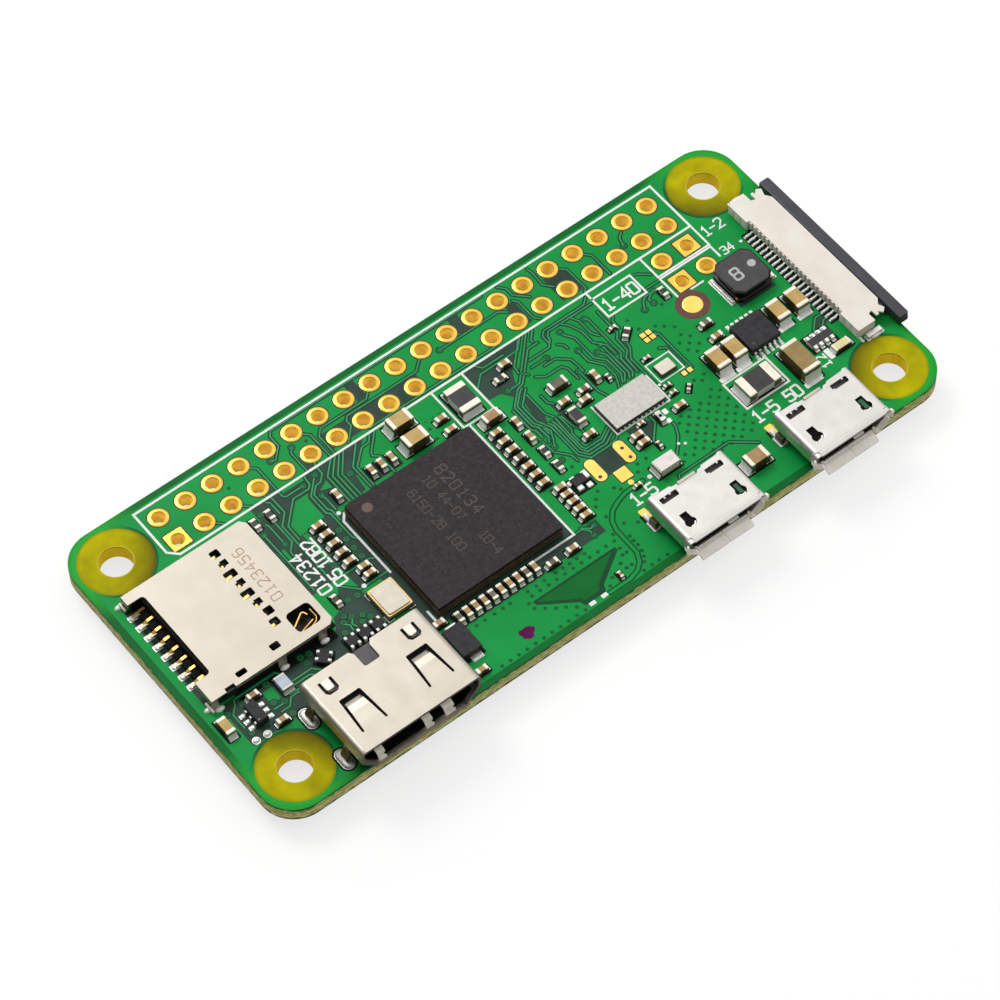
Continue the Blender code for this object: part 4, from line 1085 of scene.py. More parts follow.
# copper areas laid back over the bare patches
PATCHES = [
    [(-15, 7.4), (-13.8, 7.4), (-14.1, 7), (-14.1, 4.9), (-15.2, 4.7), (-16.6, 4.6),
     (-16.6, 5.8)],
    rect(-15.3, -13.3, 8.6, 9), [(-12, 7.5), (-12.9, 7), (-12, 6.7)],
    rect(-8, -6.2, 6.6, 8.3), rect(-3.1, -0.8, 7.1, 8.8), rect(-27.2, -26.3, -6.1, -4.9),
    [(-24.4, -8.1), (-22.1, -8.1), (-22.1, -5.9)],
    [(-19.3, 9), (-18.2, 9), (-18.2, 7.6), (-19.3, 7.6)], rect(-18.95, -18.3, 3.3, 4.4),
]
copper = Piece("board_mask_areas", "board_green")
pour_holes = [circle(x, y, 0.9, 20) for x, y in HOLES] + [slot_loop(x, y, 0.05) for x, y in SLOTS]
copper.add(fill(pour_outline(0.55), pour_holes, TOP - 0.003, Z_POUR), "mask_over_copper")
for x, y in SEATS:
    copper.add(annulus(x, y, SEAT_RING, 3.37, TOP - 0.002, TOP + 0.004, 48), "seat_margin")
copper.add(bare_shapes(BARE, BURIED, Z_BARE), "mask_over_laminate")
for outline in PATCHES:
    copper.add(prism(outline, TOP, Z_BARE + 0.002), "mask_over_copper")
copper.finish()

# ------------------------------------------------------------------ tracks
# centre lines, (x, y)
TRACKS = [
    # header strip
    [(-21, 9.65), (-20.45, 9.1)], [(-18.45, 9.6), (-17.9, 9.1)], [(-16.55, 9.4), (-16.55, 9)],
    [(-15.95, 12.15), (-15.5, 11.7), (-15.5, 9)],
    [(-14.3, 11.6), (-13.9, 11.45), (-12.95, 12.4), (-12.95, 13.5), (-12.6, 13.95), (8.2, 13.95)],
    [(-12.25, 11.65), (-12.6, 11.2), (-12.6, 9.1)], [(-10.85, 12.15), (-10.4, 11.7), (-10.35, 9.1)],
    [(-9.95, 9.1), (-9.95, 11.15), (-9.4, 11.7), (-4.95, 11.7), (-4.4, 12.2)],
    [(-11.6, 9.45), (-11.9, 9.1)],
    [(-8.5, 9.25), (-7.4, 10.4), (-7.4, 11), (-7.1, 11.35), (-0.3, 11.35), (0.7, 12.2)],
    [(-6.4, 9.35), (5.3, 9.37), (6.2, 9.4)], [(2.4, 11.85), (8.3, 11.9), (8.9, 11.4)],
    [(9.85, 12.1), (10.15, 11.7), (10.15, 9.7), (10.5, 9.3)],
    [(9.7, 13.9), (10.2, 13.3), (10.2, 12.5), (11.2, 11.5)],
    [(12.7, 13.8), (12.8, 13.3), (12.7, 11.8), (13.3, 11.1)],
    [(14.7, 12.2), (15.15, 11.8), (15.2, 9.4), (14.9, 9.2)], [(20.9, 12), (20.4, 11.6), (20.2, 10.8)],
    # -x, +y side of the processor
    [(-18.75, 6.4), (-18.7, 0)], [(-18.1, 7.1), (-17.95, 6.9), (-17.95, 4.7)],
    [(-17.4, 6.8), (-17.4, 4.6), (-18.05, 3.9), (-18.05, 3)],
    [(-16.85, 8.75), (-16.6, 8.5), (-16.6, 7.3)],
    [(-16.25, 9), (-16.25, 7.1), (-17.15, 6.2), (-17.15, 0.5)],
    [(-13.1, 9), (-13.2, 8), (-13.5, 7.7), (-15, 7.7), (-16.8, 5.9), (-16.85, 4.4)],
    [(-15.5, 9.4), (-15.5, 8.4), (-15.3, 8.2), (-13.7, 8.2)],
    [(-12.4, 8.45), (-13.8, 7), (-13.8, 5.1), (-13.55, 4.8), (-13.55, 2.1), (-13.4, 1.8)],
    [(-11.8, 9), (-11.85, 8.2), (-12.4, 7.65), (-12.9, 7.6), (-13.5, 7), (-13.5, 5.3),
     (-13.3, 5), (-13.3, 3.9)],
    [(-13.1, 6.6), (-13, 6.2), (-13, 4.9)], [(-10.4, 9), (-11.7, 7.7), (-11.7, 4.8)],
    [(-10, 9), (-11.35, 7.5), (-11.35, 4.8)], [(-9.6, 9), (-11, 7.3), (-11, 4.8)],
    [(-9.2, 9), (-10.65, 7.2), (-10.65, 4.8)], [(-8.1, 8.85), (-9.62, 7.2), (-9.62, 4.85)],
    [(-6.8, 8.85), (-7.25, 8.3), (-8, 8.25), (-9.35, 7), (-9.35, 4.85)],
    [(-6.3, 8.85), (-7.7, 7.4), (-7.8, 7.1), (-7.35, 6.7), (-7.35, 4.85)],
    # +x side of the processor
    [(2.5, 7.05), (3.5, 8), (7.2, 8), (8.1, 8.9)], [(3.6, 8.9), (4, 8.35), (6, 8.35)],
    [(8.7, 8.85), (5.35, 5.4), (4.2, 5.35)],
    [(7.3, 6.65), (9.3, 6.65), (9.8, 7.2), (9.9, 7.6), (10.2, 7.93), (14.6, 7.93)],
    [(7, 6), (8.4, 6)],
    [(8.9, 7.6), (7.9, 7.6), (5.5, 5.2), (4.9, 5.05), (3.6, 3.8), (3.6, 1.6), (3.9, 1.2),
     (3.95, 0), (3.7, -0.45)],
    [(5.2, 4.9), (4.9, 4.75), (3.85, 3.75), (3.85, 1.7), (4.2, 1.1), (4.2, 0.2)],
    [(5.4, 4.7), (4.15, 3.5), (4.15, 1.75), (4.46, 1.1)], [(5.1, 4.2), (5.1, 1.9), (5.46, 1.2)],
    [(3.3, 3.6), (3.3, 1.4), (3.55, 1), (3.55, 0.2)],
    [(4.46, 1), (4.7, 0.6), (4.7, -2.75), (5.35, -3.6), (7.1, -3.6), (7.95, -3.45), (8.2, -3.2)],
    [(4.73, 1), (4.95, 0.6), (4.93, -2.6), (5.45, -3.3), (7.1, -3.3), (8.15, -2.75)],
    [(5.08, 1), (5.2, 0.5), (5.2, -2.5), (5.5, -3), (7, -3), (8.1, -2.4)],
    [(5.46, 1), (5.4, -0.7), (5.4, -2.4), (5.55, -2.7), (7.1, -2.7), (8.1, -2.1)],
    [(5.8, 1), (5.8, -0.6), (5.6, -0.9), (5.6, -1.8)],
    [(4.23, 1), (4.45, 0.3), (4.1, -0.45), (3.75, -1.05)],
    [(9.55, 7.1), (9.55, 7.8), (9.95, 8.2), (14, 8.2), (14.6, 8.7)],
    [(-0.1, -8.35), (0.6, -8.35), (1, -8.8), (1, -9.35)], [(0.6, -8.2), (1.2, -8.7), (1.6, -8.6)],
    # round the radio
    [(9.7, 3.4), (9.7, 1), (10, 0.15)],
    [(10.9, 7.3), (10.95, 6.9), (11.45, 6.1), (11.45, 3.7), (12.1, 2.9), (12.15, 1.2),
     (11.7, 0.4)],
    [(10.9, 5), (10.9, 3.7), (11.7, 2.6), (11.7, 1.3), (11.2, 0.2)],
    [(12, 3.95), (12.4, 3.3), (12.4, 1), (11.9, 0.4)], [(12.65, 4.35), (12.7, 0.9), (12.4, 0.4)],
    [(13.2, 7.1), (13.4, 6.9), (13.4, 2.7), (13.05, 2.3), (13, 0.8), (12.7, 0.4)],
    [(14.45, 7), (14.4, 4.4), (14, 4), (13.95, 2.6), (13.4, 2.1), (13.3, 0.5)],
    [(14.4, 3.5), (14.3, 2.7), (13.65, 1.8), (13.65, -2)], [(16.6, 2.5), (16.9, 2.3), (16.9, -1.8)],
    [(17.5, 4.8), (17.9, 5.5), (18.3, 5.8), (19.4, 5.9)],
    [(18.5, 4.9), (18.4, 5.4), (18.8, 5.7), (19.5, 5.75)], [(18.7, 8.1), (19.3, 7.9), (20.1, 7.2)],
    [(18.6, 6.35), (20.4, 6.35)], [(11.3, -3.4), (11.3, -4.1), (10.1, -5.4)],
    [(12.35, -5), (12.3, -5.4), (11.9, -6.2), (11.3, -6.9), (10.7, -7.5)],
    [(9.45, -9.4), (9.6, -9.1), (14.6, -9.1), (16.4, -10.6)],
    [(28.3, -4.2), (27.5, -4.2), (26.6, -5.1)], [(28.3, -4.75), (27.9, -4.75), (27.3, -5.3)],
    # between the card socket, the crystal and the video socket
    [(-17, -0.9), (-15.9, -2.1), (-13.2, -2.1)], [(-16.4, -0.3), (-13.7, -0.3), (-13.4, -0.5)],
    [(-18.7, -3.9), (-18.45, -4.2), (-18.5, -4.7)], [(-18, -3.9), (-18.25, -4.2), (-18.1, -4.6)],
    [(-30, -6.5), (-30, -5.1), (-29.4, -4.5), (-29.2, -4.05), (-25.4, -4.05), (-25.2, -4.3)],
    [(-24.8, -5.45), (-23, -5.45), (-22.5, -6)], [(-24.9, -5.8), (-23.4, -5.8), (-23.1, -6.1)],
    [(-25.9, -6), (-25.5, -6.3), (-24.8, -6.3)],
    [(-27, -7.1), (-26.2, -7.1), (-25.7, -6.5), (-24.9, -6.5)], [(-27.3, -6.6), (-26.4, -6.6)],
    # between the header and the radio
    [(7.75, 8.7), (7.3, 8.2), (6, 6.9), (5.9, 6.2), (6.4, 5.6)], [(9.3, 8.8), (8.6, 8.1), (8.6, 7.9)],
    [(6.7, 5.1), (7.4, 4.6), (8.9, 4.6), (9.2, 4.1), (9.25, 2.9)],
    [(7.9, 5.5), (9, 5.5), (9.9, 4.7), (10, 3.9), (10, 3.2)],
    [(11.4, 7.9), (11.9, 7.3), (12.3, 6.2), (12.3, 4.9), (13, 4), (13.05, 2.9)],
    [(12.4, 7.9), (12.75, 7.2), (12.75, 5.7), (13.1, 5.1)], [(10, 6.5), (10.35, 6.1), (10.4, 5.7)],
    [(15.2, 6), (14.8, 5.5), (14.8, 4.7)], [(5.9, 3.4), (5.9, 2.6), (6.2, 2.2)],
    [(6.4, -2.3), (6.4, -0.9), (6.1, -0.5), (5.95, 0.9)],
    [(3.3, -0.1), (3.4, -1.4), (4.3, -2.5), (4.35, -3.2)], [(16, 1.2), (16.5, 0.9), (16.5, -1.2)],
    [(17, 12.3), (17.6, 11.6), (17.6, 9.3)],
]
ANTENNA_FEED = [
    (-1.3, -14.15), (0.7, -14.15), (1.6, -13.9), (2.2, -13.4), (2.6, -12.6), (2.65, -10),
    (2.9, -9.2), (3.5, -8.5), (4.3, -8.1), (5.3, -7.8), (7.1, -7.75)]
# small ringed holes
RINGS = [
    (-18.75, 6.4), (-17.95, 4.7), (-13.7, 8.2), (-12.4, 8.45), (-13.1, 6.6), (-17.85, 8.05),
    (-10.15, 6.85), (-16.2, 0.85), (-13.95, 3.2), (-14, 2.2), (-14, 1.2), (-14, 0.25),
    (4.2, 5.35), (8.5, 6), (3.75, -1.05), (1, -9.35), (1.6, -8.6), (3.4, -2.35), (9.7, 3.4),
    (10.9, 7.3), (10.9, 5), (12, 3.95), (12.65, 4.35), (13.2, 7.1), (17.5, 4.8), (18.5, 4.9),
    (-18.35, -3.3), (-18.7, -3.7), (-17.95, -3.65), (-19.15, -4.5), (-17.5, -4.5),
    (-17.15, -4.05), (-16.75, -4.5), (-17.2, -2.3), (-16.4, -2.4), (-16.1, -5.4),
    (-30.3, -4.8), (-28.9, -4.75), (-26.5, -4.5), (-27, -6.1), (-26.3, -6.5), (-29.8, -7.2),
    (-28.5, -7.15), (-26.4, -7.7), (-23.1, -4.2), (-22.4, -4.3), (-23, -4.85),
    (-14.3, 11.6), (-12.25, 11.65), (2.4, 11.85), (20.2, 10.8), (16.6, 2.5), (14.4, 3.5),
]
# holes covered by the mask
DOTS = [
    (-18.3, 11.6), (-11, 11.45), (-2.65, 8.5), (-2, 8.5), (-1.4, 8.5), (-2.65, 7.15),
    (-1.95, 7.15), (-1.35, 7.15), (-2.8, 6.3), (-2.9, 5.25), (3.75, -6.35), (3.2, -6.85),
    (2.75, -7.4), (2.8, -8.6), (4.95, -6.9), (5.3, -7.3), (7.75, -6.3), (7.3, -6.9), (8.6, -6.3),
    (3.65, -3.35), (15.75, 4.85), (15.95, 3.65), (18.9, 4.4), (16.2, -2.9), (17.2, -2.9),
    (16.7, -3.3), (16.7, -4.4), (11.2, -7.9), (12.2, -7.9), (10.7, -8.35), (11.7, -8.35),
    (17.6, 0.6), (18.7, 0.6), (17.7, -0.35), (18.8, -0.4), (18.2, 1.15), (18.3, 2.05),
    (17.7, 2.6), (17.15, 3.05), (18.2, 0.1), (18.2, -0.9),
]
DOTS += [(x + k, y - j) for x, y in ((13.2, -4.9), (12.7, -5.35)) for k in range(5)
         for j in range(5)]
DOTS += [(x, -10.2) for x in (-11.8, -11, -10.2, -9.3, -8.5, -7.8, -6.1, -5.3, -4.5, -3.4, -2.7,
                              -2.05, -1.35, -0.6, 2.2)]
DOTS += [(-6.1 + 0.8 * k, -10.7) for k in range(11)]
DOTS += [
    (-6.7, -11.1), (-6.65, -11.7), (-6, -12.2), (-5.35, -12.7), (-4.7, -13.1), (-4.05, -13.6),
    (1.8, -11.5), (1.6, -12.1), (1, -12.6), (-0.3, -13.2), (-0.9, -13.7), (1.1, -13.2),
    (1.6, -13.2), (2, -12.1), (3.1, -11.1), (3.05, -11.6), (3.1, -12.1), (3, -12.7),
    (2.8, -13.2), (2.5, -13.6), (3.5, -9.9), (4.4, -10.5),
]
DOTS += [(-11.7 + 0.8 * k, -14.2) for k in range(11)]
DOTS += [(2, -14.2), (2.8, -14.2), (3.5, -14.2), (4.3, -14.2)]
# antenna, in two layers
ANTENNA_GAP = [(-6.4, -11.15), (1.6, -11.15), (1.6, -11.5), (-1.2, -13.3), (-1.45, -13.9),
               (-3.45, -13.9), (-3.6, -13.4), (-6.35, -11.55)]
ANTENNA = [(-5.9, -11.35), (1.1, -11.35), (-1.6, -13.1), (-1.75, -13.5), (-3.2, -13.5),
           (-3.3, -13.2), (-5.9, -11.5)]
TRACK_WIDTH, FEED_WIDTH = 0.115, 0.26

tracks = Piece("board_tracks", "board_green")
for i, path in enumerate(TRACKS + [ANTENNA_FEED]):
    feed = path is ANTENNA_FEED
    width = FEED_WIDTH if feed else TRACK_WIDTH
    tracks.add(track(path, width + 0.24, BURIED, Z_CLEAR - 0.0005 + 0.0002 * (i % 5)), "mask_gap")
    tracks.add(track(path, width, TOP, Z_TRACE), "mask_over_copper" if feed else "mask_over_track")
for x, y in RINGS:
    tracks.add(annulus(x, y, 0.13, 0.25, TOP, Z_TRACE + 0.001, 14), "track_ring")
    tracks.add(prism(circle(x, y, 0.14, 12), TOP, Z_TRACE - 0.004), "pad_clearance")
    tracks.add(annulus(x, y, 0.24, 0.34, TOP, Z_CLEAR + 0.001, 14), "mask_gap")
for x, y in DOTS:
    tracks.add(prism(circle(x, y, 0.19, 12), TOP, Z_POUR + 0.0012), "tented_margin")
    tracks.add(prism(circle(x, y, 0.12, 10), TOP, Z_POUR + 0.0022), "tented_hole")
tracks.add(prism(ANTENNA_GAP, TOP, Z_POUR + 0.003), "mask_gap")
tracks.add(prism(ANTENNA, TOP, Z_POUR + 0.005), "mask_dark")
tracks.finish()

# ------------------------------------------------------------------ printed legend
LEGEND_Z = TOP + 0.004, Z_SILK
# (closed, stroke width, path)
LEGEND_LINES = [
    (True, 0.2, [(-24.75, 9), (25.6, 9), (25.6, 14.15), (-25.5, 14.15), (-25.5, 9.75)]),
    (True, 0.18, rect(20.35, 25.6, 6.62, 9)),
    (False, 0.18, [(20.35, 4.2), (20.35, 6.4), (25.55, 6.4), (25.55, 5.2)]),
    (False, 0.18, [(21.7, 4.1), (22.9, 4.1)]),
    (False, 0.18, [(14.85, 9), (14.85, 6.05), (18.7, 6.05), (18.7, 8.2), (14.85, 8.2)]),
    (False, 0.18, [(-0.2, 4.75), (2.4, 4.75)]),
    (False, 0.2, [(-13.2, -2.3), (-13.2, 3.6), (-12.7, 4.2)]),
    (False, 0.18, [(-3.9, -8.35), (-0.15, -8.35), (-0.15, 4.7)]),
    (False, 0.18, [(-0.65, 9), (-0.65, 4.75), (2.35, 4.75), (2.35, 9)]),
    (True, 0.18, rect(17.7, 21.98, -7.6, -4.68)),
    (True, 0.12, rect(14.05, 16.4, -1.45, 0.5)),
    (False, 0.14, [(8.3, -3.1), (8.3, 0.1)]),
    (False, 0.14, [(8.3, -3.2), (13.5, -3.2)]),
    (False, 0.14, [(13.55, -3.1), (13.55, -0.2)]),
    (False, 0.2, [(-13.15, -6.9), (-13.15, -7.9)]),
    (False, 0.24, [(29, -7.9), (29, -8.3)]),
]
# (x, y, radius)
LEGEND_DOTS = [
    (-15.5, -2.05, 0.2), (-13.05, 4.45, 0.18), (7.75, -7.8, 0.2), (13.8, -1.55, 0.12),
    (27.8, 5.3, 0.14), (11.45, -6.8, 0.13), (11.87, -7.1, 0.13)]
# (text, x, y, height, stroke width, pitch, turn)
LEGEND_TEXT = [
    ("1-40", 15.2, 6.5, 1.1, 0.19, 0.86, 0), ("1-2", 25.95, 7.35, 0.95, 0.14, 0.68, 0),
    ("34", 25.95, 5.05, 0.75, 0.13, 0.6, 0), ("1-5", 5.25, -9.3, 1.05, 0.19, 0.78, 0),
    ("1-5", 17.55, -9.2, 1.05, 0.19, 0.78, 0), ("50", 20.75, -9.2, 1.05, 0.19, 0.78, 0),
    ("01234", -17.55, -0.75, 0.98, 0.18, 0.88, QUARTER),
    ("05", -16.12, -0.85, 0.98, 0.18, 0.74, QUARTER),
    ("1082", -16.12, 1.15, 0.98, 0.18, 0.74, QUARTER),
    ("12", 25.7, -8.45, 0.75, 0.14, 0.75, QUARTER),
]
legend = Piece("board_legend", "board_green")
for closed, width, path in LEGEND_LINES:
    legend.add((loop_track if closed else track)(path, width, *LEGEND_Z), "legend_ink")
for x, y, r in LEGEND_DOTS:
    legend.add(prism(circle(x, y, r, 14), *LEGEND_Z), "legend_ink")
for text, x, y, height, width, pitch, turn in LEGEND_TEXT:
    numerals(legend, text, x, y, height, "legend_ink", *LEGEND_Z, width, pitch, turn)
legend.finish()

# uneven round ink spot
ink = Piece("board_ink_mark", "board_green")
spot = []
for i in range(26):
    a = 2 * math.pi * i / 26
    r = (0.62 + 0.07 * math.sin(3 * a + 0.6) + 0.05 * math.sin(5 * a + 1.9)
         + 0.03 * math.sin(9 * a))
    spot.append((-8.38 + r * 1.02 * math.cos(a), -13.05 + r * 0.86 * math.sin(a)))
ink.add(bevelled(spot, TOP, Z_SILK - 0.006, 0.004), "ink_mark")
ink.finish()

# ------------------------------------------------------------------ gold lands
lands = Piece("board_lands", "gold")


def land(x0, x1, y0, y1, finish_name="gold_plating", r=0.04):
    """Flat land; a gold one also gets a dark clearance round it."""
    n = 2 if r < 0.2 else 6
    lands.add(bevelled(round_rect(x0, x1, y0, y1, r, n), BURIED, Z_PAD, 0.004), finish_name)
    if finish_name == "gold_plating":
        clearance = round_rect(x0 - 0.1, x1 + 0.1, y0 - 0.1, y1 + 0.1, r + 0.08, n)
        lands.add(prism(clearance, BURIED, Z_CLEAR + 0.001), "pad_clearance")


land(4.38, 5.33, -5.9, -3.6, r=0.45)
land(7.22, 8.18, -5.9, -3.6, r=0.45)
land(5.72, 6.88, -6.93, -5.77)
for x, y in ((4.75, -5.45), (7.75, -4.4), (7.75, -5.45)):
    lands.add(prism(circle(x, y, 0.16, 14), TOP, Z_PAD + 0.003), "tinned_ring")
lands.add(prism(circle(6.3, -7.3, 0.24, 16), TOP, Z_PAD), "gold_plating")
ROUND_LAND = [(0.0001, Z_PAD + 0.002), (0.6, Z_PAD + 0.002), (0.8, Z_PAD + 0.012), (0.84, Z_PAD),
              (0.84, TOP), (0.0001, TOP)]
lands.add(lathe(ROUND_LAND, 20.8, 2.85, 32), "gold_plating", True)
lands.add(annulus(20.8, 2.85, 0.83, 1.42, TOP, Z_PAD - 0.004, 36), "tinned_ring")
for x in (15.8, 16.35):
    for y in (2.95, 2.4):
        land(x - 0.22, x + 0.22, y - 0.22, y + 0.22)
for x in (16.05, 16.6):
    land(x - 0.2, x + 0.2, -2.12, -1.68)
for x in (-2.9, -1.75):
    land(x - 0.28, x + 0.28, -14.25, -13.9, "legend_ink")
lands.finish()


# ------------------------------------------------------------------ small soldered parts
def two_ended(piece, x, y, length, width, height, body="capacitor_body", turn=0.0, cap=0.28,
              end="part_end_metal", fillet=0.18, side="part_side_dark", drop=0.03, spread=0.0,
              mark=None):
    """Chip part: body between metal ends of length cap, solder fillets and lands.

    drop is how far the body lies below the ends, spread widens the lands."""
    half, reach = length / 2, width / 2
    inner, body_top = half - cap * 0.8, 0.03 + height - drop

    def put(shape, finish_name, smooth=False):
        piece.add(moved(shape, x, y, turn), finish_name, smooth)

    # body sides in the side finish, by default a darker copy painted as shade, under a thin top in
    # the body finish
    put(block(-inner, inner, -reach + 0.025, reach - 0.025, 0.05, body_top, 0.03), side)
    put(block(-inner, inner, -reach + 0.032, reach - 0.032, body_top - 0.05, body_top + 0.012,
              0.02), body)
    # painted shadow on the board round the part
    put(painted_shadow_plate(-half - fillet - 0.14, half + fillet + 0.14, -reach - 0.16 - spread,
                     reach + 0.16 + spread), "part_margin")
    edge = min(0.07, width * 0.12)
    for s in (-1, 1):
        a, b = sorted((s * half, s * (half - cap)))
        # metal end: sides in a darker copy painted as shade, top in the end finish
        put(block(a, b, -reach, reach, 0.03, 0.03 + height - edge, edge, 3), "part_end_side", True)
        put(block(a, b, -reach, reach, 0.03 + height - edge * 2.2, 0.03 + height, edge, 3),
            end, True)
        profile = above([
            (s * (half - 0.03), 0.005), (s * (half + fillet), 0.005), (s * (half + fillet), 0.04),
            (s * (half + fillet * 0.45), 0.03 + height * 0.16),
            (s * (half + fillet * 0.14), 0.03 + height * 0.42),
            (s * (half - 0.02), 0.03 + height * 0.66)])
        wedge = prism(profile, -reach + 0.02, reach - 0.02, "y")
        put(soften(wedge, 0.02, 1, 50), "solder", True)
        a, b = sorted((s * (half - cap - 0.04), s * (half + fillet + 0.05)))
        outline = round_rect(a, b, -reach + 0.02 - spread, reach - 0.02 + spread, 0.05, 2)
        put(prism(outline, BURIED, Z_PAD - 0.002), "solder" if length > 1.3 else "tin_lead")
    if mark:
        put(prism(rect(-0.12, 0.12, -reach * 0.5, reach * 0.5), TOP + body_top - 0.01,
                  TOP + body_top + 0.012), mark)


# (name, x, y, length, width, height, turn, body finish)
CAPACITORS = [
    ("regulator_capacitor_a", 18.63, -2.85, 2, 1.25, 1, QUARTER, "capacitor_body_dark"),
    ("regulator_capacitor_b", 20.3, -2.85, 2, 1.25, 1, QUARTER, "capacitor_body_dark"),
    ("regulator_capacitor_c", 25.3, -2.2, 1.95, 1.2, 1, QUARTER, "capacitor_body_dark"),
    ("regulator_capacitor_d", 27.2, -2.2, 1.95, 1.2, 1, QUARTER, "capacitor_body_dark"),
    ("input_capacitor", 23.6, -6.9, 3.2, 1.6, 1.3, QUARTER, "capacitor_body_large"),
    ("usb_capacitor", 15, -11.9, 1.9, 1.25, 1, 0, "capacitor_body"),
    ("core_capacitor_a", -4.5, 7.95, 2, 1.25, 1.15, 0, "capacitor_body_dark"),
    ("core_capacitor_b", -4.55, 5.9, 2, 1.25, 1.15, 0, "capacitor_body_dark"),
    ("core_capacitor_c", 1.45, 3.95, 1.6, 0.85, 0.8, 0, "capacitor_body"),
]
for name, x, y, length, width, height, turn, body in CAPACITORS:
    capacitor = look(name, "capacitor_tan")
    two_ended(capacitor, x, y, length, width, height, body, turn, cap=0.38 if width > 1 else 0.3,
              fillet=0.3, spread=0.04)
    capacitor.finish()

fuse = look("power_fuse", "chip_black")
two_ended(fuse, 19.82, -6.35, 3.2, 2, 0.85, "resistor_top", cap=0.75, fillet=0.3,
          side="resistor_ceramic", spread=0.05)
fuse.finish()
fuse = look("hdmi_fuse", "chip_black")
two_ended(fuse, 0.72, 6.72, 2.6, 1.85, 0.85, "resistor_top", QUARTER, cap=0.6, fillet=0.28,
          side="resistor_ceramic", spread=0.05)
fuse.finish()

usb_filter = look("usb_filter", "filter_ceramic")
two_ended(usb_filter, 9.3, -7.85, 2, 1.25, 0.8, "filter_body", cap=0.14, fillet=0.14,
          end="filter_body", drop=0, side="filter_body")
usb_filter.add(prism(round_rect(9.5, 9.98, -8.08, -7.62, 0.06, 3), TOP + 0.82, TOP + 0.846),
               "resistor_ceramic")
usb_filter.finish()

led = look("activity_led", "led_yellow")
two_ended(led, 27.3, -7.6, 1.6, 0.75, 0.45, "led_lens", cap=0.22, fillet=0.2)
led.add(block(26.75, 27.85, -7.93, -7.27, 0.2, 0.475, 0.08), "led_lens", True)
led.finish()

# (name, count, first x, y, step in x, y, turn, places of the grey parts)
BYPASS_ROWS = [
    ("below", 10, -11.7, -8.95, 0.805, 0, QUARTER, (0, 4, 8)),
    ("left", 5, -15.1, 4.35, 0, -1.02, 0, ()),
    ("right", 7, 0.9, 2.65, 0, -0.99, 0, (3,)),
    ("lower_right", 5, 1.6, -4.45, 0, -0.8, 0, ()),
    ("upper", 3, -8.8, 5.88, 0.98, 0, QUARTER, ()),
]
for name, count, x, y, dx, dy, turn, grey in BYPASS_ROWS:
    row = look("bypass_row_" + name, "capacitor_tan")
    for i in range(count):
        body = "part_body_grey" if i in grey else "capacitor_body"
        two_ended(row, x + dx * i, y + dy * i, 1, 0.52, 0.5, body, turn, fillet=0.12)
    row.finish()

# length, width, height by size name
CHIP_SIZES = {"0402": (1, 0.52, 0.48), "0603": (1.6, 0.82, 0.6), "0201": (0.62, 0.32, 0.3),
              "R": (1, 0.52, 0.34)}
LEAN_X, LEAN_Y = 0.40, 0.535  # shift of a part's place for each mm of its height


def chip_part(piece, x, y, body="capacitor_body", turn=0.0, size=None, mark=None):
    """Small part placed from the point on the board plane that its top hides from the camera."""
    black = body == "resistor_top"
    length, width, height = CHIP_SIZES[size or ("R" if black else "0402")]
    long = length > 0.7
    two_ended(piece, x - LEAN_X * height, y - LEAN_Y * height, length, width, height, body, turn,
              cap=0.29 if long else 0.19, fillet=0.11 if long else 0.07,
              side="resistor_ceramic" if black else "part_side_dark", mark=mark)


TAN, GREY, BLACK = "capacitor_body", "part_body_grey", "resistor_top"
small = Piece("small_parts_processor", "capacitor_tan")
for x, y, body, turn in (
        (-2.95, -9.2, GREY, 0), (-0.95, -9.15, TAN, 0), (-1.45, 6.65, TAN, 0),
        (-1.45, 5.35, TAN, 0), (-14.35, -0.5, TAN, 0), (-14.35, -1.3, TAN, 0),
        (-13, -8.15, TAN, 0), (-13, -13.4, TAN, 0), (-12.05, 6, TAN, QUARTER),
        (2.95, 2.7, TAN, QUARTER), (2.95, 1, TAN, QUARTER), (2.95, -0.8, BLACK, QUARTER),
        (2.95, -2.5, BLACK, QUARTER)):
    chip_part(small, x, y, body, turn)
small.finish()

small = Piece("small_parts_radio", "capacitor_tan")
for x, y, body, turn, size in (
        (5.6, 7.7, TAN, 0, None), (4.5, 6.75, BLACK, 0, None), (7.05, 1.95, TAN, 0, None),
        (9, 1.9, GREY, 0, None), (8.45, 1.1, TAN, 0, None), (6.7, -1.7, TAN, 0, None),
        (9.5, -4.1, TAN, 0, None), (9.5, -4.9, TAN, 0, None), (13.9, -3.95, TAN, 0, None),
        (20.5, 0.9, GREY, 0, None), (20.4, -0.6, TAN, 0, None), (10.5, 2.4, TAN, QUARTER, None),
        (19.8, 5.35, BLACK, QUARTER, None), (7.7, 3.6, GREY, 0, "0603"),
        (7, 0.3, BLACK, QUARTER, "0603"), (15, 4.05, BLACK, math.radians(40), None)):
    chip_part(small, x, y, body, turn, size)
for x, y, turn in (
        (10.3, -5.85, QUARTER), (6.6, -7.75, 0), (10.4, -3.45, 0), (14.25, -2.7, 0),
        (14.3, -1.9, 0), (15.5, -3.1, math.radians(45)), (14.45, 5.1, 0), (14.7, 1.15, 0),
        (11.2, 1.6, QUARTER), (0.4, -13.3, QUARTER)):
    chip_part(small, x, y, TAN if (x + y) % 2 > 0.8 else GREY, turn, "0201")
chip_part(small, 12, -3.85, "coil_body", QUARTER, mark="blue_mark")
small.add(pad(12.35, 12.75, -4.05, -3.55, 0.04), "solder")
small.add(pad(12.05, 12.45, -4.85, -4.45, 0.04), "solder")
small.finish()

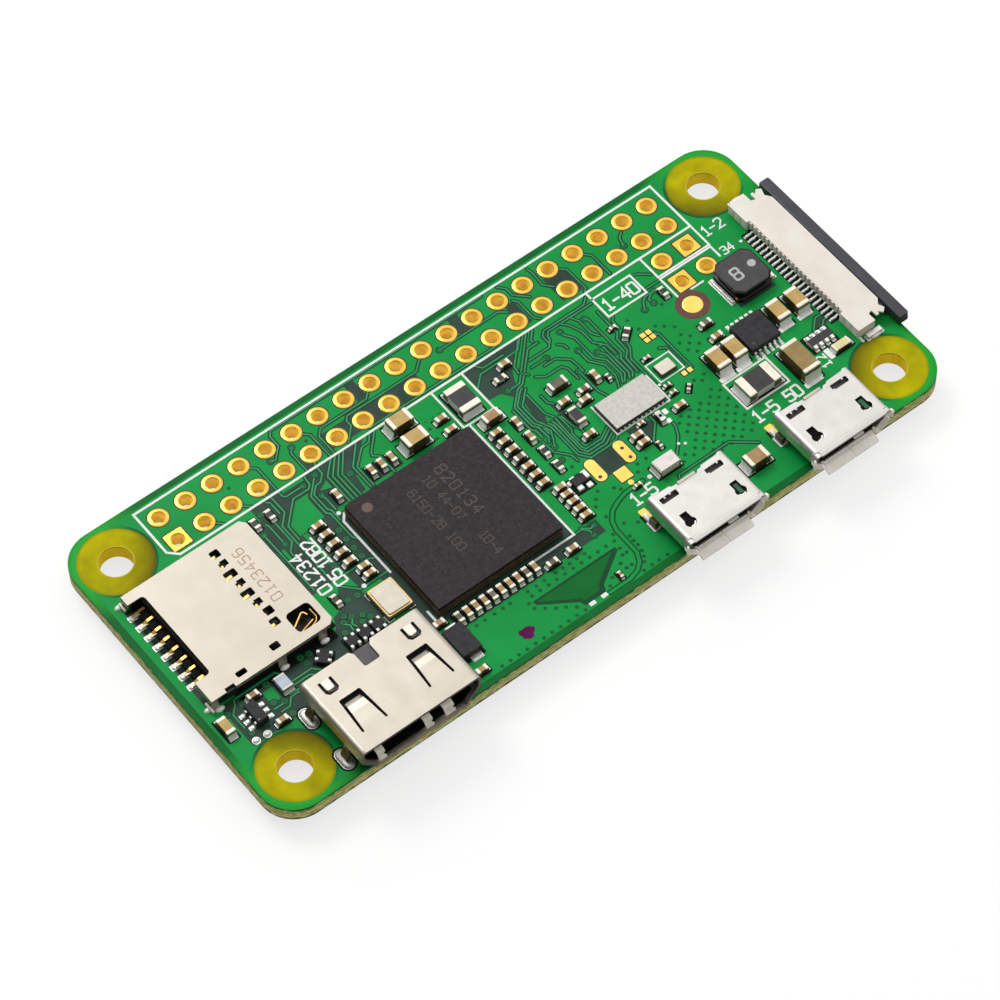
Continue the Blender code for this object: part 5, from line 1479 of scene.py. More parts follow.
small = Piece("small_parts_card_side", "capacitor_tan")
for x, y, body, turn in ((-27.75, -4.5, TAN, 0), (-27.25, -7.6, TAN, 0),
                         (-18.6, 7.7, BLACK, QUARTER), (-17.2, 7.7, BLACK, QUARTER),
                         (-17.85, -1.65, BLACK, QUARTER)):
    chip_part(small, x, y, body, turn)
two_ended(small, -25.5, -5.3, 1.35, 1, 0.5, "coil_body", QUARTER, cap=0.2, fillet=0.15, drop=0,
          side="coil_body")
two_ended(small, -31.15, -5.8, 1.6, 0.82, 0.7, "capacitor_body_dark", QUARTER, cap=0.34,
          fillet=0.25)
for x, y in ((-29.95, -7.95), (-28.95, -8)):
    small.add(dome(x, y, 0, 0.32, 0.24, 0.2), "solder", True)
    small.add(prism(circle(x, y, 0.34, 14), TOP, Z_PAD), "solder")
small.finish()

# four-way resistor pack
pack = Piece("look_resistor_pack", "chip_black")
# painted shadow round the resistor pack
pack.add(painted_shadow_plate(25.1, 27.75, -7, -5.1), "part_margin")
pack.add(block(25.32, 27.58, -6.42, -5.68, 0.03, 0.31, 0.02), "resistor_ceramic")
pack.add(block(25.34, 27.56, -6.4, -5.7, 0.3, 0.345, 0.015), "resistor_top")
for i in range(4):
    for y in (-5.56, -6.54):
        x = 25.61 + 0.56 * i
        pack.add(block(x - 0.16, x + 0.16, y - 0.2, y + 0.2, 0.02, 0.33, 0.06, 3), "solder", True)
        pack.add(pad(x - 0.18, x + 0.18, y - 0.36, y + 0.36), "solder")
pack.finish()

oscillator = Piece("look_small_oscillator", "chip_black")
# painted shadow round the oscillator
oscillator.add(painted_shadow_plate(2.3, 4.2, -5.85, -4.1), "part_margin")
oscillator.add(block(2.55, 3.75, -5.2, -4.4, 0.03, 0.42, 0.04), "chip_moulding")
for x0, x1, y0, y1, high in (
        (3.62, 4.12, -5, -4.25, 0.34), (2.62, 3.12, -4.5, -4.15, 0.2),
        (2.62, 3.12, -5.62, -5.12, 0.3), (3.4, 3.9, -5.78, -5.3, 0.2),
        (2.32, 2.6, -4.75, -4.3, 0.14)):
    oscillator.add(block(x0, x1, y0, y1, 0.02, high, 0.07, 3), "solder", True)
oscillator.finish()

bare_lands = Piece("bare_solder_lands", "tin")
for x0, x1, y0, y1 in ((17.72, 19.2, -4.55, -4.1), (19.4, 20.85, -4.55, -4.1),
                       (24.5, 25.9, -3.7, -3.25), (26.4, 27.8, -3.7, -3.25),
                       (22.6, 24.3, -9.1, -8.6), (25.9, 26.4, -8.1, -7.05)):
    outline = round_rect(x0, x1, y0, y1, 0.08, 2)
    bare_lands.add(bevelled(outline, BURIED, Z_PAD + 0.01, 0.01), "solder")
for x, y in ((-24.5, -4.15), (-20.75, -4.15), (-30.45, -4.05), (-31.2, 7.95), (-31.15, -3.6)):
    bare_lands.add(dome(x, y, 0, 0.42, 0.26, 0.2, 14), "solder", True)
bare_lands.finish()

# ------------------------------------------------------------------ processor and memory package
PACKAGE_X, PACKAGE_Y = -6.8, -1.9


def package_block(half, low, high, edge, corner=None):
    """Square block centred on the stacked packages."""
    return block(PACKAGE_X - half, PACKAGE_X + half, PACKAGE_Y - half, PACKAGE_Y + half,
                 low, high, edge, corner=corner)


processor = look("processor", "package_brown", "soc_package")
processor.add(package_block(6, 0.24, 0.48, 0.02, 0.12), "package_substrate")
processor.add(package_block(4, 0.46, 0.66, 0.04), "package_side")
BALL_ROW = 5.62  # outermost row of solder balls to package centre
for i in range(18):
    along = -5.53 + 0.65 * i
    for z, r in ((TOP + 0.13, 0.15), (TOP + 0.59, 0.12)):
        for dx, dy in ((along, -BALL_ROW), (-BALL_ROW, along), (along, BALL_ROW),
                       (BALL_ROW, along)):
            processor.add(ball(PACKAGE_X + dx, PACKAGE_Y + dy, z, r), "solder", True)
processor.finish()

memory = look("memory_package", "package_charcoal", "ram_package")
memory.add(package_block(6, 0.70, 0.845, 0.015, 0.12), "package_substrate")
memory.add(package_block(5.97, 0.84, 1.195, 0.035, 0.12), "package_side")
memory.add(prism(round_rect(PACKAGE_X - 5.93, PACKAGE_X + 5.93, PACKAGE_Y - 5.93,
                            PACKAGE_Y + 5.93, 0.1, 3), TOP + 1.19, TOP + 1.2), "package_moulding")
DOT_PROFILE = above([(0.0001, 1.2016), (0.30, 1.2016), (0.36, 1.2018), (0.40, 1.2025),
                     (0.44, 1.2012), (0.44, 1.19), (0.0001, 1.19)])
memory.add(lathe(DOT_PROFILE, -11.45, 2.85, 28), "moulded_dot", True)
# (text, x, y, height, stroke width, pitch)
for text, x, y, height, width, pitch in (
        ("820134", -5.35, 2.45, 0.95, 0.11, 0.93), ("10 44-07", -6.65, 2.3, 0.72, 0.08, 0.62),
        ("6150-28 100", -8.35, 1.95, 0.75, 0.08, 0.62), ("10-4", -6.35, -4.4, 0.75, 0.08, 0.6)):
    numerals(memory, text, x, y, height, "package_marking", TOP + 1.195, TOP + 1.2035, width,
             pitch, -QUARTER)
memory.finish()

# ------------------------------------------------------------------ memory card socket
CARD_X0, CARD_X1, CARD_Y0, CARD_Y1 = -31, -19.55, -3.9, 7.9
CARD_ROOF, CARD_SHEET = 1.35, 0.15  # roof height above the board, sheet thickness
CARD_PINS = [6.55 - 1.1 * i for i in range(8)]
CARD_RIBS = [6.55 - 1.1 * i + 0.55 for i in range(9)]

windows = []
for i, y in enumerate(CARD_PINS):
    x = (-23.52 if i not in (2, 4) else -23.78) + (0.22 if i == 6 else 0)
    if i in (1, 3, 5):
        # stepped windows: a wide end and a narrow end
        windows.append([(x, y - 0.30), (x + 0.42, y - 0.30), (x + 0.42, y - 0.2),
                        (-22.75, y - 0.2), (-22.75, y + 0.36), (x + 0.2, y + 0.36),
                        (x + 0.2, y + 0.2), (x, y + 0.2)])
    else:
        x1 = -22.75 + (0.22 if i == 6 else 0)
        windows.append(round_rect(x, x1, y - 0.33, y + 0.39, 0.12, 3))
windows += [round_rect(-22.3, -20.15, -3.15, -1.15, 0.42, 5),
            round_rect(-24.8, -24, -3.15, -2.55, 0.12, 3),
            round_rect(-28.2, -27.3, -3.42, -2.93, 0.12, 3)]
# roof outline with a small notch in the -y edge and a wide cut-out in the -x edge
CARD_OUTLINE = [
    (CARD_X0, CARD_Y0), (-29.6, CARD_Y0), (-29.6, -3.55), (-28.75, -3.55), (-28.75, CARD_Y0),
    (-20, CARD_Y0), (CARD_X1, -3.5), (CARD_X1, 7.4), (-19.95, CARD_Y1), (CARD_X0, CARD_Y1),
    (CARD_X0, 6.95), (-29.8, 6.95), (-29.62, 6.85), (-29.55, 6.65), (-29.55, -1.45),
    (-29.62, -1.65), (-29.8, -1.75), (CARD_X0, -1.75)]
# walls and feet: (x0, x1, y0, y1, low, high, edge)
CARD_WALLS = [
    (CARD_X0, -19.95, CARD_Y1 - CARD_SHEET, CARD_Y1, 0.03, CARD_ROOF - 0.06, 0.03),
    (-28.75, -20, CARD_Y0, CARD_Y0 + CARD_SHEET, 0.95, CARD_ROOF - 0.04, 0.05),
    (CARD_X1 - CARD_SHEET, CARD_X1, -3.4, 7.3, 0.45, CARD_ROOF - 0.05, 0.03),
    (-24.9, -24.1, CARD_Y0 - 0.02, CARD_Y0 + CARD_SHEET, 0.03, CARD_ROOF - 0.1, 0.03),
    (-21.15, -20.35, CARD_Y0 - 0.02, CARD_Y0 + CARD_SHEET, 0.03, CARD_ROOF - 0.1, 0.03),
    (CARD_X0, -30.4, CARD_Y0, CARD_Y0 + CARD_SHEET, 0.03, CARD_ROOF - 0.03, 0.04),
    (CARD_X0 - 0.2, CARD_X0 + 0.05, -4.2, -3.1, 0.03, 0.38, 0.05),
    (CARD_X0 - 0.2, CARD_X0 + 0.05, 7.2, 8.1, 0.03, 0.38, 0.05),
    (CARD_X0, CARD_X0 + CARD_SHEET, -3.85, -1.9, 0.75, CARD_ROOF - 0.04, 0.04),
    (CARD_X0, CARD_X0 + CARD_SHEET, 7.05, 7.85, 0.75, CARD_ROOF - 0.04, 0.04),
]
roof = TOP + CARD_ROOF
shell = look("card_shell", "warm_steel", "sd_shell")
shell.add(soften(fill(CARD_OUTLINE, windows, roof - CARD_SHEET, roof), 0.03, 1, 50, True),
          "card_socket_steel", True)
for wall in CARD_WALLS:
    shell.add(block(*wall), "card_socket_steel", True)
numerals(shell, "0123456", -21.25, 0.35, 0.88, "engraved_marks", roof - 0.005, roof + 0.0035,
         0.085, 0.83, QUARTER)
shell.finish(flats=True)

housing = look("card_housing", "black_moulding", "sd_housing")
housing.add(block(-30.15, -19.8, -3.7, 7.7, 0.03, 0.16, 0.02), "black_moulding")
for i, y in enumerate(CARD_RIBS):
    housing.add(block(-28.9, -22.6, y - 0.2, y + 0.2, 0.15, 0.33, 0.02), "black_moulding")
    # front ends of the ribs at the mouth, in painted shade
    if i < 8:
        housing.add(block(-30.15, -29.72, y - 0.2, y + 0.2, 0.1, 0.34, 0.03), "dark_hollow")
# walls and steps: (x0, x1, y0, y1, low, high, edge)
for wall in (
        (-30.15, -19.8, 7.52, 7.7, 0.1, CARD_ROOF - 0.2, 0.03),
        (-30.15, -19.8, -3.7, -3.52, 0.1, 0.9, 0.03),
        (-19.98, -19.8, -3.6, 7.6, 0.1, CARD_ROOF - 0.2, 0.03),
        (-22.4, -19.9, -0.95, 7.5, 0.15, 0.34, 0.03), (-30.1, -28.9, -3.5, -1.8, 0.15, 0.5, 0.04),
        (-30.1, -28.9, 7.15, 7.5, 0.15, 0.5, 0.04), (-29.62, -28.72, -3.86, -3.52, 0.3, 1.05, 0.05)):
    housing.add(block(*wall), "black_moulding")
# near-black band of painted shade across the mouth, behind the contacts
housing.add(block(-29.8, -29.35, -1.72, 7.12, 0.12, 1.12, 0.05), "dark_hollow")
housing.add(painted_shadow_plate(-28.9, -19.7, -4.5, -3.5), "socket_shadow")
housing.add(painted_shadow_plate(-19.9, -19.3, -3.6, 6.2), "socket_shadow")
# painted shade between the contact tails: black blocks, and dark strips on the board
for i, y in enumerate(CARD_RIBS):
    housing.add(block(-30.5, -29.7, y - 0.27, y + 0.27, 0.05, 0.3, 0.02), "dark_hollow")
    if i < 8:
        gap = rect(-31.05, -30.4, y - 0.22 if i else y - 0.05, y + 0.22)
        housing.add(prism(gap, TOP, Z_BARE + 0.004), "part_margin")
housing.finish()

contacts = look("card_contacts", "gold", "sd_contacts")
for y in CARD_PINS:
    path = bend([(-30.62, 0.13), (-30.3, 0.3), (-29.6, 0.38), (-28.9, 0.24), (-26, 0.5)], 0.16, 4)
    contacts.add(strip(path, 0.1, y - 0.07, y + 0.19, "y", 0.015), "gold_spring", True)
    path = bend([(-26.05, 0.5), (-23.16, 0.98), (-22.86, 0.72)], 0.12, 4)
    contacts.add(strip(path, 0.1, y - 0.1, y + 0.16, "y", 0.015), "gold_spring", True)
    # flat tail, the raised wedge on it, its land and the solder at its toe
    path = bend([(-31.18, 0.07), (-30.72, 0.1), (-30.3, 0.09)], 0.1)
    contacts.add(strip(path, 0.1, y - 0.22, y + 0.2, "y", 0.03), "contact_tail", True)
    wedge = [(-30.95, y - 0.2), (-30.35, y - 0.2), (-30.22, y + 0.16), (-30.5, y + 0.05),
             (-30.85, y)]
    contacts.add(soften(prism(wedge, TOP + 0.1, TOP + 0.2), 0.03, 1, 40), "contact_tail", True)
    toe = round_rect(-31.32, -30.6, y - 0.28, y + 0.26, 0.06, 2)
    contacts.add(prism(toe, TOP, Z_PAD - 0.002), "tin_lead")
    contacts.add(dome(-31.12, y - 0.05, 0.02, 0.14, 0.2, 0.16, 10), "solder", True)
contacts.finish()

switch = look("detect_contact", "gold", "sd_detect_contact")
path = rounded_path([(-22, -2.98), (-21.5, -2.80), (-20.95, -2.64), (-20.6, -2.54)], 0.1, 3)
switch.add(strip(path, 0.13, TOP + 0.55, TOP + 1.02, "z", 0.03), "gold_spring", True)
path = rounded_path([(-21.5, -3.16), (-21, -2.98), (-20.5, -2.78), (-20.28, -2.5),
                     (-20.3, -1.6)], 0.12)
switch.add(strip(path, 0.12, TOP + 0.5, TOP + 1, "z", 0.03), "gold_spring", True)
switch.finish()
lever = look("detect_lever", "gold", "sd_detect_lever", body="detect_lever")
path = rounded_path([(-22.2, -2.32), (-21.6, -1.92), (-21.05, -1.56), (-20.86, -1.64),
                     (-20.75, -1.98)], 0.12)
lever.add(strip(path, 0.13, TOP + 0.51, TOP + 1.07, "z", 0.015), "gold_spring", True)
lever.finish()

# ------------------------------------------------------------------ video socket
# From here on path[::s] and path[::-s] turn a mirrored path round on one side (s = -1 or 1).
VIDEO_ROOF = TOP + 3.17
TONGUE, REAR_TAB = 3.1, 3.83  # socket centre to the middle of each
section = shell_section(VIDEO_X, 5.52, VIDEO_ROOF, TOP + 0.30, 1.35, 1.5, 0.42)
end_u = section[-1][0]
mouth_y, rear_y = -15.4, -7.7
flat = [(-end_u, mouth_y), (end_u, mouth_y), (end_u, rear_y), (1, rear_y), (0.72, -8.1),
        (0.72, -9.3), (0.6, -9.45), (-0.6, -9.45), (-0.72, -9.3), (-0.72, -8.1), (-1, rear_y),
        (-end_u, rear_y)]
holes = []
for s in (-1, 1):
    # U-shaped slot round a rear tab
    a, b = s * REAR_TAB - 0.62, s * REAR_TAB + 0.62
    holes.append(rounded_path([
        (a, -8.5), (a + 0.25, -8.5), (a + 0.25, -9.3), (a + 0.4, -9.45), (b - 0.4, -9.45),
        (b - 0.25, -9.3), (b - 0.25, -8.5), (b, -8.5), (b, -9.55), (b - 0.25, -9.82),
        (a + 0.25, -9.82), (a, -9.55)], 0.06, 2))
    # slot round a sprung tongue
    c = s * TONGUE
    holes.append([
        (c - 0.9, -10.62), (c + 0.9, -10.62), (c + 0.97, -10.72), (c + 1.18, -13.8),
        (c + 1.1, -13.9), (c + 0.98, -13.85), (c + 0.7, -11), (c + 0.64, -10.95),
        (c - 0.64, -10.95), (c - 0.7, -11), (c - 0.98, -13.85), (c - 1.1, -13.9),
        (c - 1.18, -13.8), (c - 0.97, -10.72)])


def dip_tongues(v):
    """Tongues dip towards their free end, rear tabs slope slightly below the sheet."""
    across, y = v.co.x - VIDEO_X, v.co.y
    for s in (-1, 1):
        away = abs(across - s * TONGUE)
        half = 0.68 + 0.25 * (-10.95 - y) / 2.9
        if away < 0.97 and -13.86 < y < -10.9 and away <= half + 0.1:
            k = (y + 13.85) / 2.9
            v.co.z -= 0.03 * max(k - 0.23, 0) + 0.26 * max(k - 0.78, 0) / 0.22
        if abs(across - s * REAR_TAB) < 0.40 and -9.36 < y < -8.9:
            v.co.z -= 0.05 * (-8.9 - y) / 0.45


bm = sheet_metal(flat, holes, section)
# extra cuts across the tongues so that they can bend
for y in (-11.4, -12.05, -12.6, -13.2, -8.9):
    bisect(bm, (0, y, 0), (0, 1, 0))
for v in bm.verts:
    if abs(v.co.z - VIDEO_ROOF) < 1e-3:
        dip_tongues(v)

shell = look("video_shell", "warm_steel", "hdmi_shell")
shell.add(thicken(bm, VIDEO_ROOF, 0.24, 0.05), "video_socket_steel", True)
# folded lip below the mouth, in a darker copy of the steel painted as shade
lip = bend([(-14.9, 0.40), (-15.34, 0.40), (-15.48, 0.3)], 0.1)
shell.add(strip(lip, 0.2, VIDEO_X - 4.35, VIDEO_X + 4.35, "x", 0.05), "socket_lip_edge", True)
# floor plate
windows = [round_rect(VIDEO_X + a, VIDEO_X + b, -12.6, -11.3, 0.2, 3)
           for a, b in ((-2.6, -1.2), (1.2, 2.6))]
floor_plate = fill(rect(VIDEO_X - 4.25, VIDEO_X + 4.25, -15.3, -9), windows, TOP + 0.30, TOP + 0.52)
shell.add(soften(floor_plate, 0.04, 1, 50), "video_socket_steel", True)
for s in (-1, 1):
    for y in VIDEO_LEG_Y:
        x = VIDEO_X + s * VIDEO_LEG
        # leg in a darker copy of the steel, painted shade
        path = rounded_path([(VIDEO_X + s * 5.34, TOP + 1.6), (VIDEO_X + s * 5.36, TOP + 0.95),
                             (x, TOP + 0.45), (x, -0.34)], 0.2)
        shell.add(strip(path[::-s], 0.22, y - 0.42, y + 0.42, "y", 0.05), "socket_leg", True)
        # oval fillets where the leg is soldered: (z, growth of the slot outline)
        upper = ((TOP, 0.1), (TOP + 0.05, 0.07), (TOP + 0.12, 0), (TOP + 0.18, -0.1))
        lower = ((0, 0.28), (-0.08, 0.2), (-0.2, 0.05), (-0.3, -0.1))
        upper, lower = (rings_solid([[(px, py, z) for px, py in slot_loop(x, y, grow)]
                                     for z, grow in rings]) for rings in (upper, lower))
        shell.add(upper, "tin_lead", True)
        # painted shadow round the leg slot
        shell.add(prism(slot_loop(x, y, 0.3), BURIED, Z_BARE + 0.003), "part_margin")
        shell.add(lower, "solder", True)
# ridges inside the mouth, in a finish that glows as painted light, each with a block of painted shade
# beside it: (offset, width)
for dx, width in ((-3.55, 0.7), (0.85, 0.75), (2.75, 0.95)):
    x, right = VIDEO_X + dx, VIDEO_X + dx + width / 2
    path = bend([(-15.3, 0.52), (-14.95, 1.15), (-14.2, 1.3), (-12.6, 1.1), (-11.6, 0.52)], 0.3, 4)
    shell.add(strip(path, 0.14, x - width / 2, right, "x", 0.05), "socket_ridge", True)
    shell.add(block(right - 0.16, right + 0.1, -15.2, -12.2, 0.5, 1, 0.04), "dark_hollow")
# raised faces of the two rear tabs, in a lighter finish that glows as painted light
for s in (-1, 1):
    x = VIDEO_X + s * REAR_TAB
    outline = round_rect(x - 0.33, x + 0.33, -9.4, -8.48, 0.1, 3)
    shell.add(bevelled(outline, VIDEO_ROOF - 0.02, VIDEO_ROOF + 0.004, 0.01), "socket_tab", True)
shell.finish(40, flats=True)

insulator = look("video_insulator", "black_moulding", "hdmi_insulator")
outline = above([(VIDEO_X - 3.75, 0.66), (VIDEO_X + 3.75, 0.66), (VIDEO_X + 4.95, 1.98),
                 (VIDEO_X + 4.95, 2.7), (VIDEO_X - 4.95, 2.7), (VIDEO_X - 4.95, 1.98)])
insulator.add(prism(outline, -10.6, -8.98, "y"), "grey_moulding")
insulator.add(block(VIDEO_X - 4.7, VIDEO_X + 4.7, -9.05, -8.2, 2.25, 2.7, 0.05), "grey_moulding")
outline = [(VIDEO_X + dx, y) for dx, y in ((-0.98, -7.78), (-0.72, -8.12), (-0.72, -9.5),
                                           (0.72, -9.5), (0.72, -8.12), (0.98, -7.78))]
insulator.add(bevelled(outline, TOP + 1.9, TOP + 2.98, 0.05), "grey_moulding")
# dark lining of painted shade in the hollow behind the mouth
insulator.add(lining(section, VIDEO_X, half=4, side=0.27, roof=2.8, drop=0.27, floor=0.6,
                     lift=0.26, y0=-15.05, y1=-10.55), "dark_hollow")
insulator.add(block(VIDEO_X - 4.15, VIDEO_X + 4.15, -14.7, -10.5, 1.44, 2.02, 0.06),
              "black_moulding")
for i in range(10):
    x = VIDEO_X - 4 + 0.8 * i
    insulator.add(block(x - 0.13, x + 0.13, -14.5, -10.6, 2, 2.04, 0.01), "black_moulding")
for i in range(3):
    x = VIDEO_X - 0.42 + 0.42 * i
    insulator.add(block(x - 0.1, x + 0.1, -8.9, -8.45, 2.5, 2.6, 0.03), "grey_moulding")
insulator.finish()

row_lands = Piece("video_row_lands", "tin")
for x, y in ((-18.63, -6.86), (-19.29, -6.83), (-19.78, -6.76)):
    row_lands.add(dome(x, y, 0.01, 0.15, 0.15, 0.14, 10), "solder", True)
    row_lands.add(prism(circle(x, y, 0.2, 12), BURIED, Z_PAD), "solder")
row_lands.finish()

contacts = look("video_contacts", "gold", "hdmi_contacts")
upper = above([(-14.2, 2.05), (-14, 2.13), (-8.7, 2.13)])
lower = above([(-14.2, 1.35), (-14, 1.3), (-8.68, 1.3), (-8.68, 0.11), (-7.35, 0.11)])
for i in range(10):
    x = VIDEO_X + (i - 4.5) * 0.8
    contacts.add(strip(upper, 0.09, x - 0.11, x + 0.11, "x"), "gold_spring")
for i in range(9):
    x = VIDEO_X + (i - 4) * 0.8
    contacts.add(strip(lower, 0.1, x - 0.11, x + 0.11, "x"), "gold_spring")
    contacts.add(pad(x - 0.17, x + 0.17, -8.35, -7.15), "solder")
contacts.finish()

# ------------------------------------------------------------------ micro USB sockets
MICRO_ROOF = 2.45  # above the board
LATCHES = ((-1, 0), (1, -0.15))  # side and y shift of each latch opening
LATCH_X = 2.4


def micro_sheet(cx, section):
    """Folded shell with its latch openings and rear windows."""
    end_u = section[-1][0]
    flat = [
        (-end_u, -15.35), (end_u, -15.35), (end_u, -10.5), (3.2, -10.5), (3.05, -10.62),
        (1.5, -10.66), (1.35, -10.8), (1, -10.82), (0.86, -11.02), (-1, -11.02), (-1.14, -10.82),
        (-1.5, -10.8), (-1.6, -10.66), (-3.05, -10.62), (-3.2, -10.5), (-end_u, -10.5)]
    holes = []
    for s, dy in LATCHES:
        c = s * LATCH_X
        turns = [math.radians(138 + 264 * k / 12) for k in range(13)]
        bulb = [(c + 0.03 + 0.5 * math.cos(t), dy - 14.22 + 0.44 * math.sin(t)) for t in turns]
        holes.append([(c + 0.33, dy - 13.2), (c - 0.33, dy - 13.2), (c - 0.33, dy - 13.86)] + bulb
                     + [(c + 0.36, dy - 13.86)])
    holes.append(round_rect(-3.05, -1.4, -11.7, -11.15, 0.12, 3))
    holes.append(round_rect(1.4, 3, -11.7, -11.15, 0.12, 3))
    return thicken(sheet_metal(flat, holes, section), TOP + MICRO_ROOF, 0.2, 0.045)


def micro_shell(cx, prefix):
    roof = MICRO_ROOF
    section = shell_section(cx, 3.75, TOP + roof, TOP + 0.05, 1.05, 1, 0.42)
    shell = look(prefix + "_shell", "bright_steel")
    shell.add(micro_sheet(cx, section), "usb_socket_steel", True)
    # rolled lip over the mouth
    path = bend([(-15.2, roof - 0.1), (-15.5, roof - 0.1), (-15.86, roof - 0.16)], 0.2)
    shell.add(strip(path, 0.18, cx - 3.3, cx + 3.3, "x", 0.05), "usb_socket_steel", True)
    for s in (-1, 1):
        path = bend([(cx + s * 3.15, roof - 0.13), (cx + s * 3.62, roof - 0.16),
                     (cx + s * 3.86, roof - 0.62)], 0.28, 5)
        shell.add(strip(path[::s], 0.16, -15.78, -15.1, "y", 0.04), "usb_socket_steel", True)
    # the flange finish of cheeks, flanges and lips glows as painted light
    for s in (-1, 1):
        # flared cheek
        path = rounded_path([(cx + s * 3.65, -15.1), (cx + s * 3.66, -15.45),
                             (cx + s * 3.95, -15.86)], 0.25, 3)
        shell.add(strip(path[::-s], 0.2, TOP + (1.25 if s > 0 else 0.95), TOP + 2.12, "z", 0.08),
                  "socket_flange", True)
        if s > 0:
            shell.add(ball(cx + 3.84, -15.68, TOP + 1.86, 0.27, 12, 8), "socket_flange", True)
        # slanting lower cheek that leads to the flange
        path = bend([(cx + s * 3.72, 1.15), (cx + s * 3.6, 0.9), (cx + s * 2.75, 0.14)], 0.2)
        shell.add(strip(path[::-s], 0.14, -15.75, -15.2, "y", 0.03), "socket_flange", True)
        # leg in a darker copy of the steel painted as shade, with its solder and lands on a plate of
        # painted shadow
        a, b = sorted((cx + s * 3.55, cx + s * 3.95))
        shell.add(block(a, b, -11.9, -11.1, 0.03, 0.75, 0.06, 3), "socket_leg", True)
        shell.add(block(a, b, -11.15, -10.3, 0.03, 0.3, 0.1, 3), "solder", True)
        shell.add(painted_shadow_plate(a - 0.2, b + 0.25, -12.1, -10.2, 0.1, 3), "part_margin")
        shell.add(pad(a - 0.15, b + 0.2, -12.05, -10.95, 0.1, 3), "solder")
        a, b = sorted((cx + s * 3.3, cx + s * 3.95))
        shell.add(bevelled(round_rect(a, b, -10.9, -9.75, 0.1, 3), TOP, Z_PAD + 0.01, 0.01),
                  "gold_plating")
    # bottom flange, in two halves with a seam
    path = bend([(-15.08, 0.02), (-15.5, -0.03), (-16.14, -0.36)], 0.2)
    for a, b in ((cx - 2.68, cx - 0.06), (cx, cx + 2.44)):
        shell.add(strip(path, 0.15, a, b, "x", 0.05), "socket_flange", True)
    shell.add(bevelled(round_rect(cx + 0.75, cx + 1.75, -15.12, -14.85, 0.1, 3), TOP + 0.22,
                       TOP + 0.275, 0.015), "socket_flange", True)
    for s in (-1, 1):
        a, b = sorted((cx + s * 2.5, cx + s * 2.72))
        shell.add(block(a, b, -15.72, -15.1, 0.1, 0.32, 0.05, 3), "socket_flange", True)
    # latch lips under the two openings, and a green plate under the right one; both glow as painted
    # light
    for s, dy in LATCHES:
        x = cx + s * LATCH_X
        turns = [math.radians((-112 if s < 0 else -150) + 17 * k) for k in range(7)]
        arc = [(x + 0.4 * math.cos(t), dy - 14.2 + 0.36 * math.sin(t)) for t in turns]
        shell.add(strip(arc, 0.15, TOP + roof - 0.24, TOP + roof - 0.06, "z", 0.04),
                  "socket_flange", True)
        if s > 0:
            shell.add(block(x - 0.1, x + 0.26, dy - 14.35, dy - 13.36, roof - 0.2, roof - 0.17,
                            0.01), "deep_green")
    # small blocks in the rear windows, and the rear edge of the fold
    for a, b, y0, y1 in ((-2.62, -2.46, -11.34, -11.1), (-2.1, -1.9, -11.28, -11.1),
                         (1.36, 1.62, -11.74, -11.56), (2.55, 2.72, -11.3, -11.1)):
        shell.add(block(cx + a, cx + b, y0, y1, roof - 0.2, roof - 0.02, 0.03),
                  "usb_socket_steel", True)
    shell.add(block(cx - 0.92, cx + 0.78, -10.98, -10.68, roof - 0.3, roof - 0.03, 0.05, 3),
              "crystal_lid", True)
    # floor of the shell, and the dark lining of painted shade in the hollow behind the mouth
    shell.add(prism(rect(cx - 2.72, cx + 2.72, -15.2, -11), TOP + 0.05, TOP + 0.24),
              "usb_socket_steel")
    shell.add(lining(section, cx, half=2.9, side=0.22, roof=2.1, drop=0.22, floor=0.4, lift=0.21,
                     y0=-15.05, y1=-12.5), "dark_hollow")
    shell.finish(40, flats=True)


def micro_inside(cx, prefix):
    insulator = look(prefix + "_insulator", "black_moulding")
    outline = above([(cx - 2.35, 0.36), (cx + 2.35, 0.36), (cx + 3.25, 1.25), (cx + 3.25, 2.05),
                     (cx - 3.25, 2.05), (cx - 3.25, 1.25)])
    insulator.add(prism(outline, -12.4, -11, "y"), "grey_moulding")
    insulator.add(block(cx - 1.85, cx + 1.85, -14.9, -12.3, 1.32, 1.9, 0.06), "grey_moulding")
    insulator.finish()
    contacts = look(prefix + "_contacts", "gold")
    path = above([(-14.6, 1.24), (-14.4, 1.19), (-10.66, 1.19), (-10.66, 0.1), (-9.8, 0.1)])
    for i in range(5):
        x = cx + (i - 2) * 0.65
        contacts.add(strip(path, 0.1, x - 0.15, x + 0.15, "x"), "gold_spring")
        contacts.add(pad(x - 0.2, x + 0.2, -10.6, -9.6), "solder")
    contacts.finish()


for cx, prefix in ((USB_X, "usb"), (POWER_X, "power")):
    micro_shell(cx, prefix)
    micro_inside(cx, prefix)

# ------------------------------------------------------------------ ribbon connector
RIBBON_Y, RIBBON_PITCH = 0.1, 0.5
RIBBON_OUTLINE = [
    (29.1, -5.6), (29.1, 5.8), (28.78, 5.85), (28.78, 8.12), (30.5, 8.12), (30.5, 7.35),
    (30.88, 7.2), (30.88, 7.9), (31.15, 7.9), (31.2, 7.65), (31.55, 8), (31.95, 7.75),
    (31.72, 7.1), (32.1, 6.55), (32.1, -6.35), (31.72, -6.85), (31.95, -7.35), (31.55, -7.72),
    (31.25, -7.35), (31.2, -7.6), (30.9, -7.6), (30.88, -6.98), (30.55, -7.1), (30.55, -7.9),
    (28.78, -7.9), (28.78, -5.65)]
housing = look("ribbon_housing", "cream_moulding", "fpc_housing")
housing.add(soften(prism(RIBBON_OUTLINE, TOP + 0.93, TOP + 1.1), 0.05, 2, 40),
            "cream_moulding", True)
housing.add(prism(rect(29.12, 29.5, -5.55, 5.75), TOP + 0.32, TOP + 0.95), "cream_moulding")
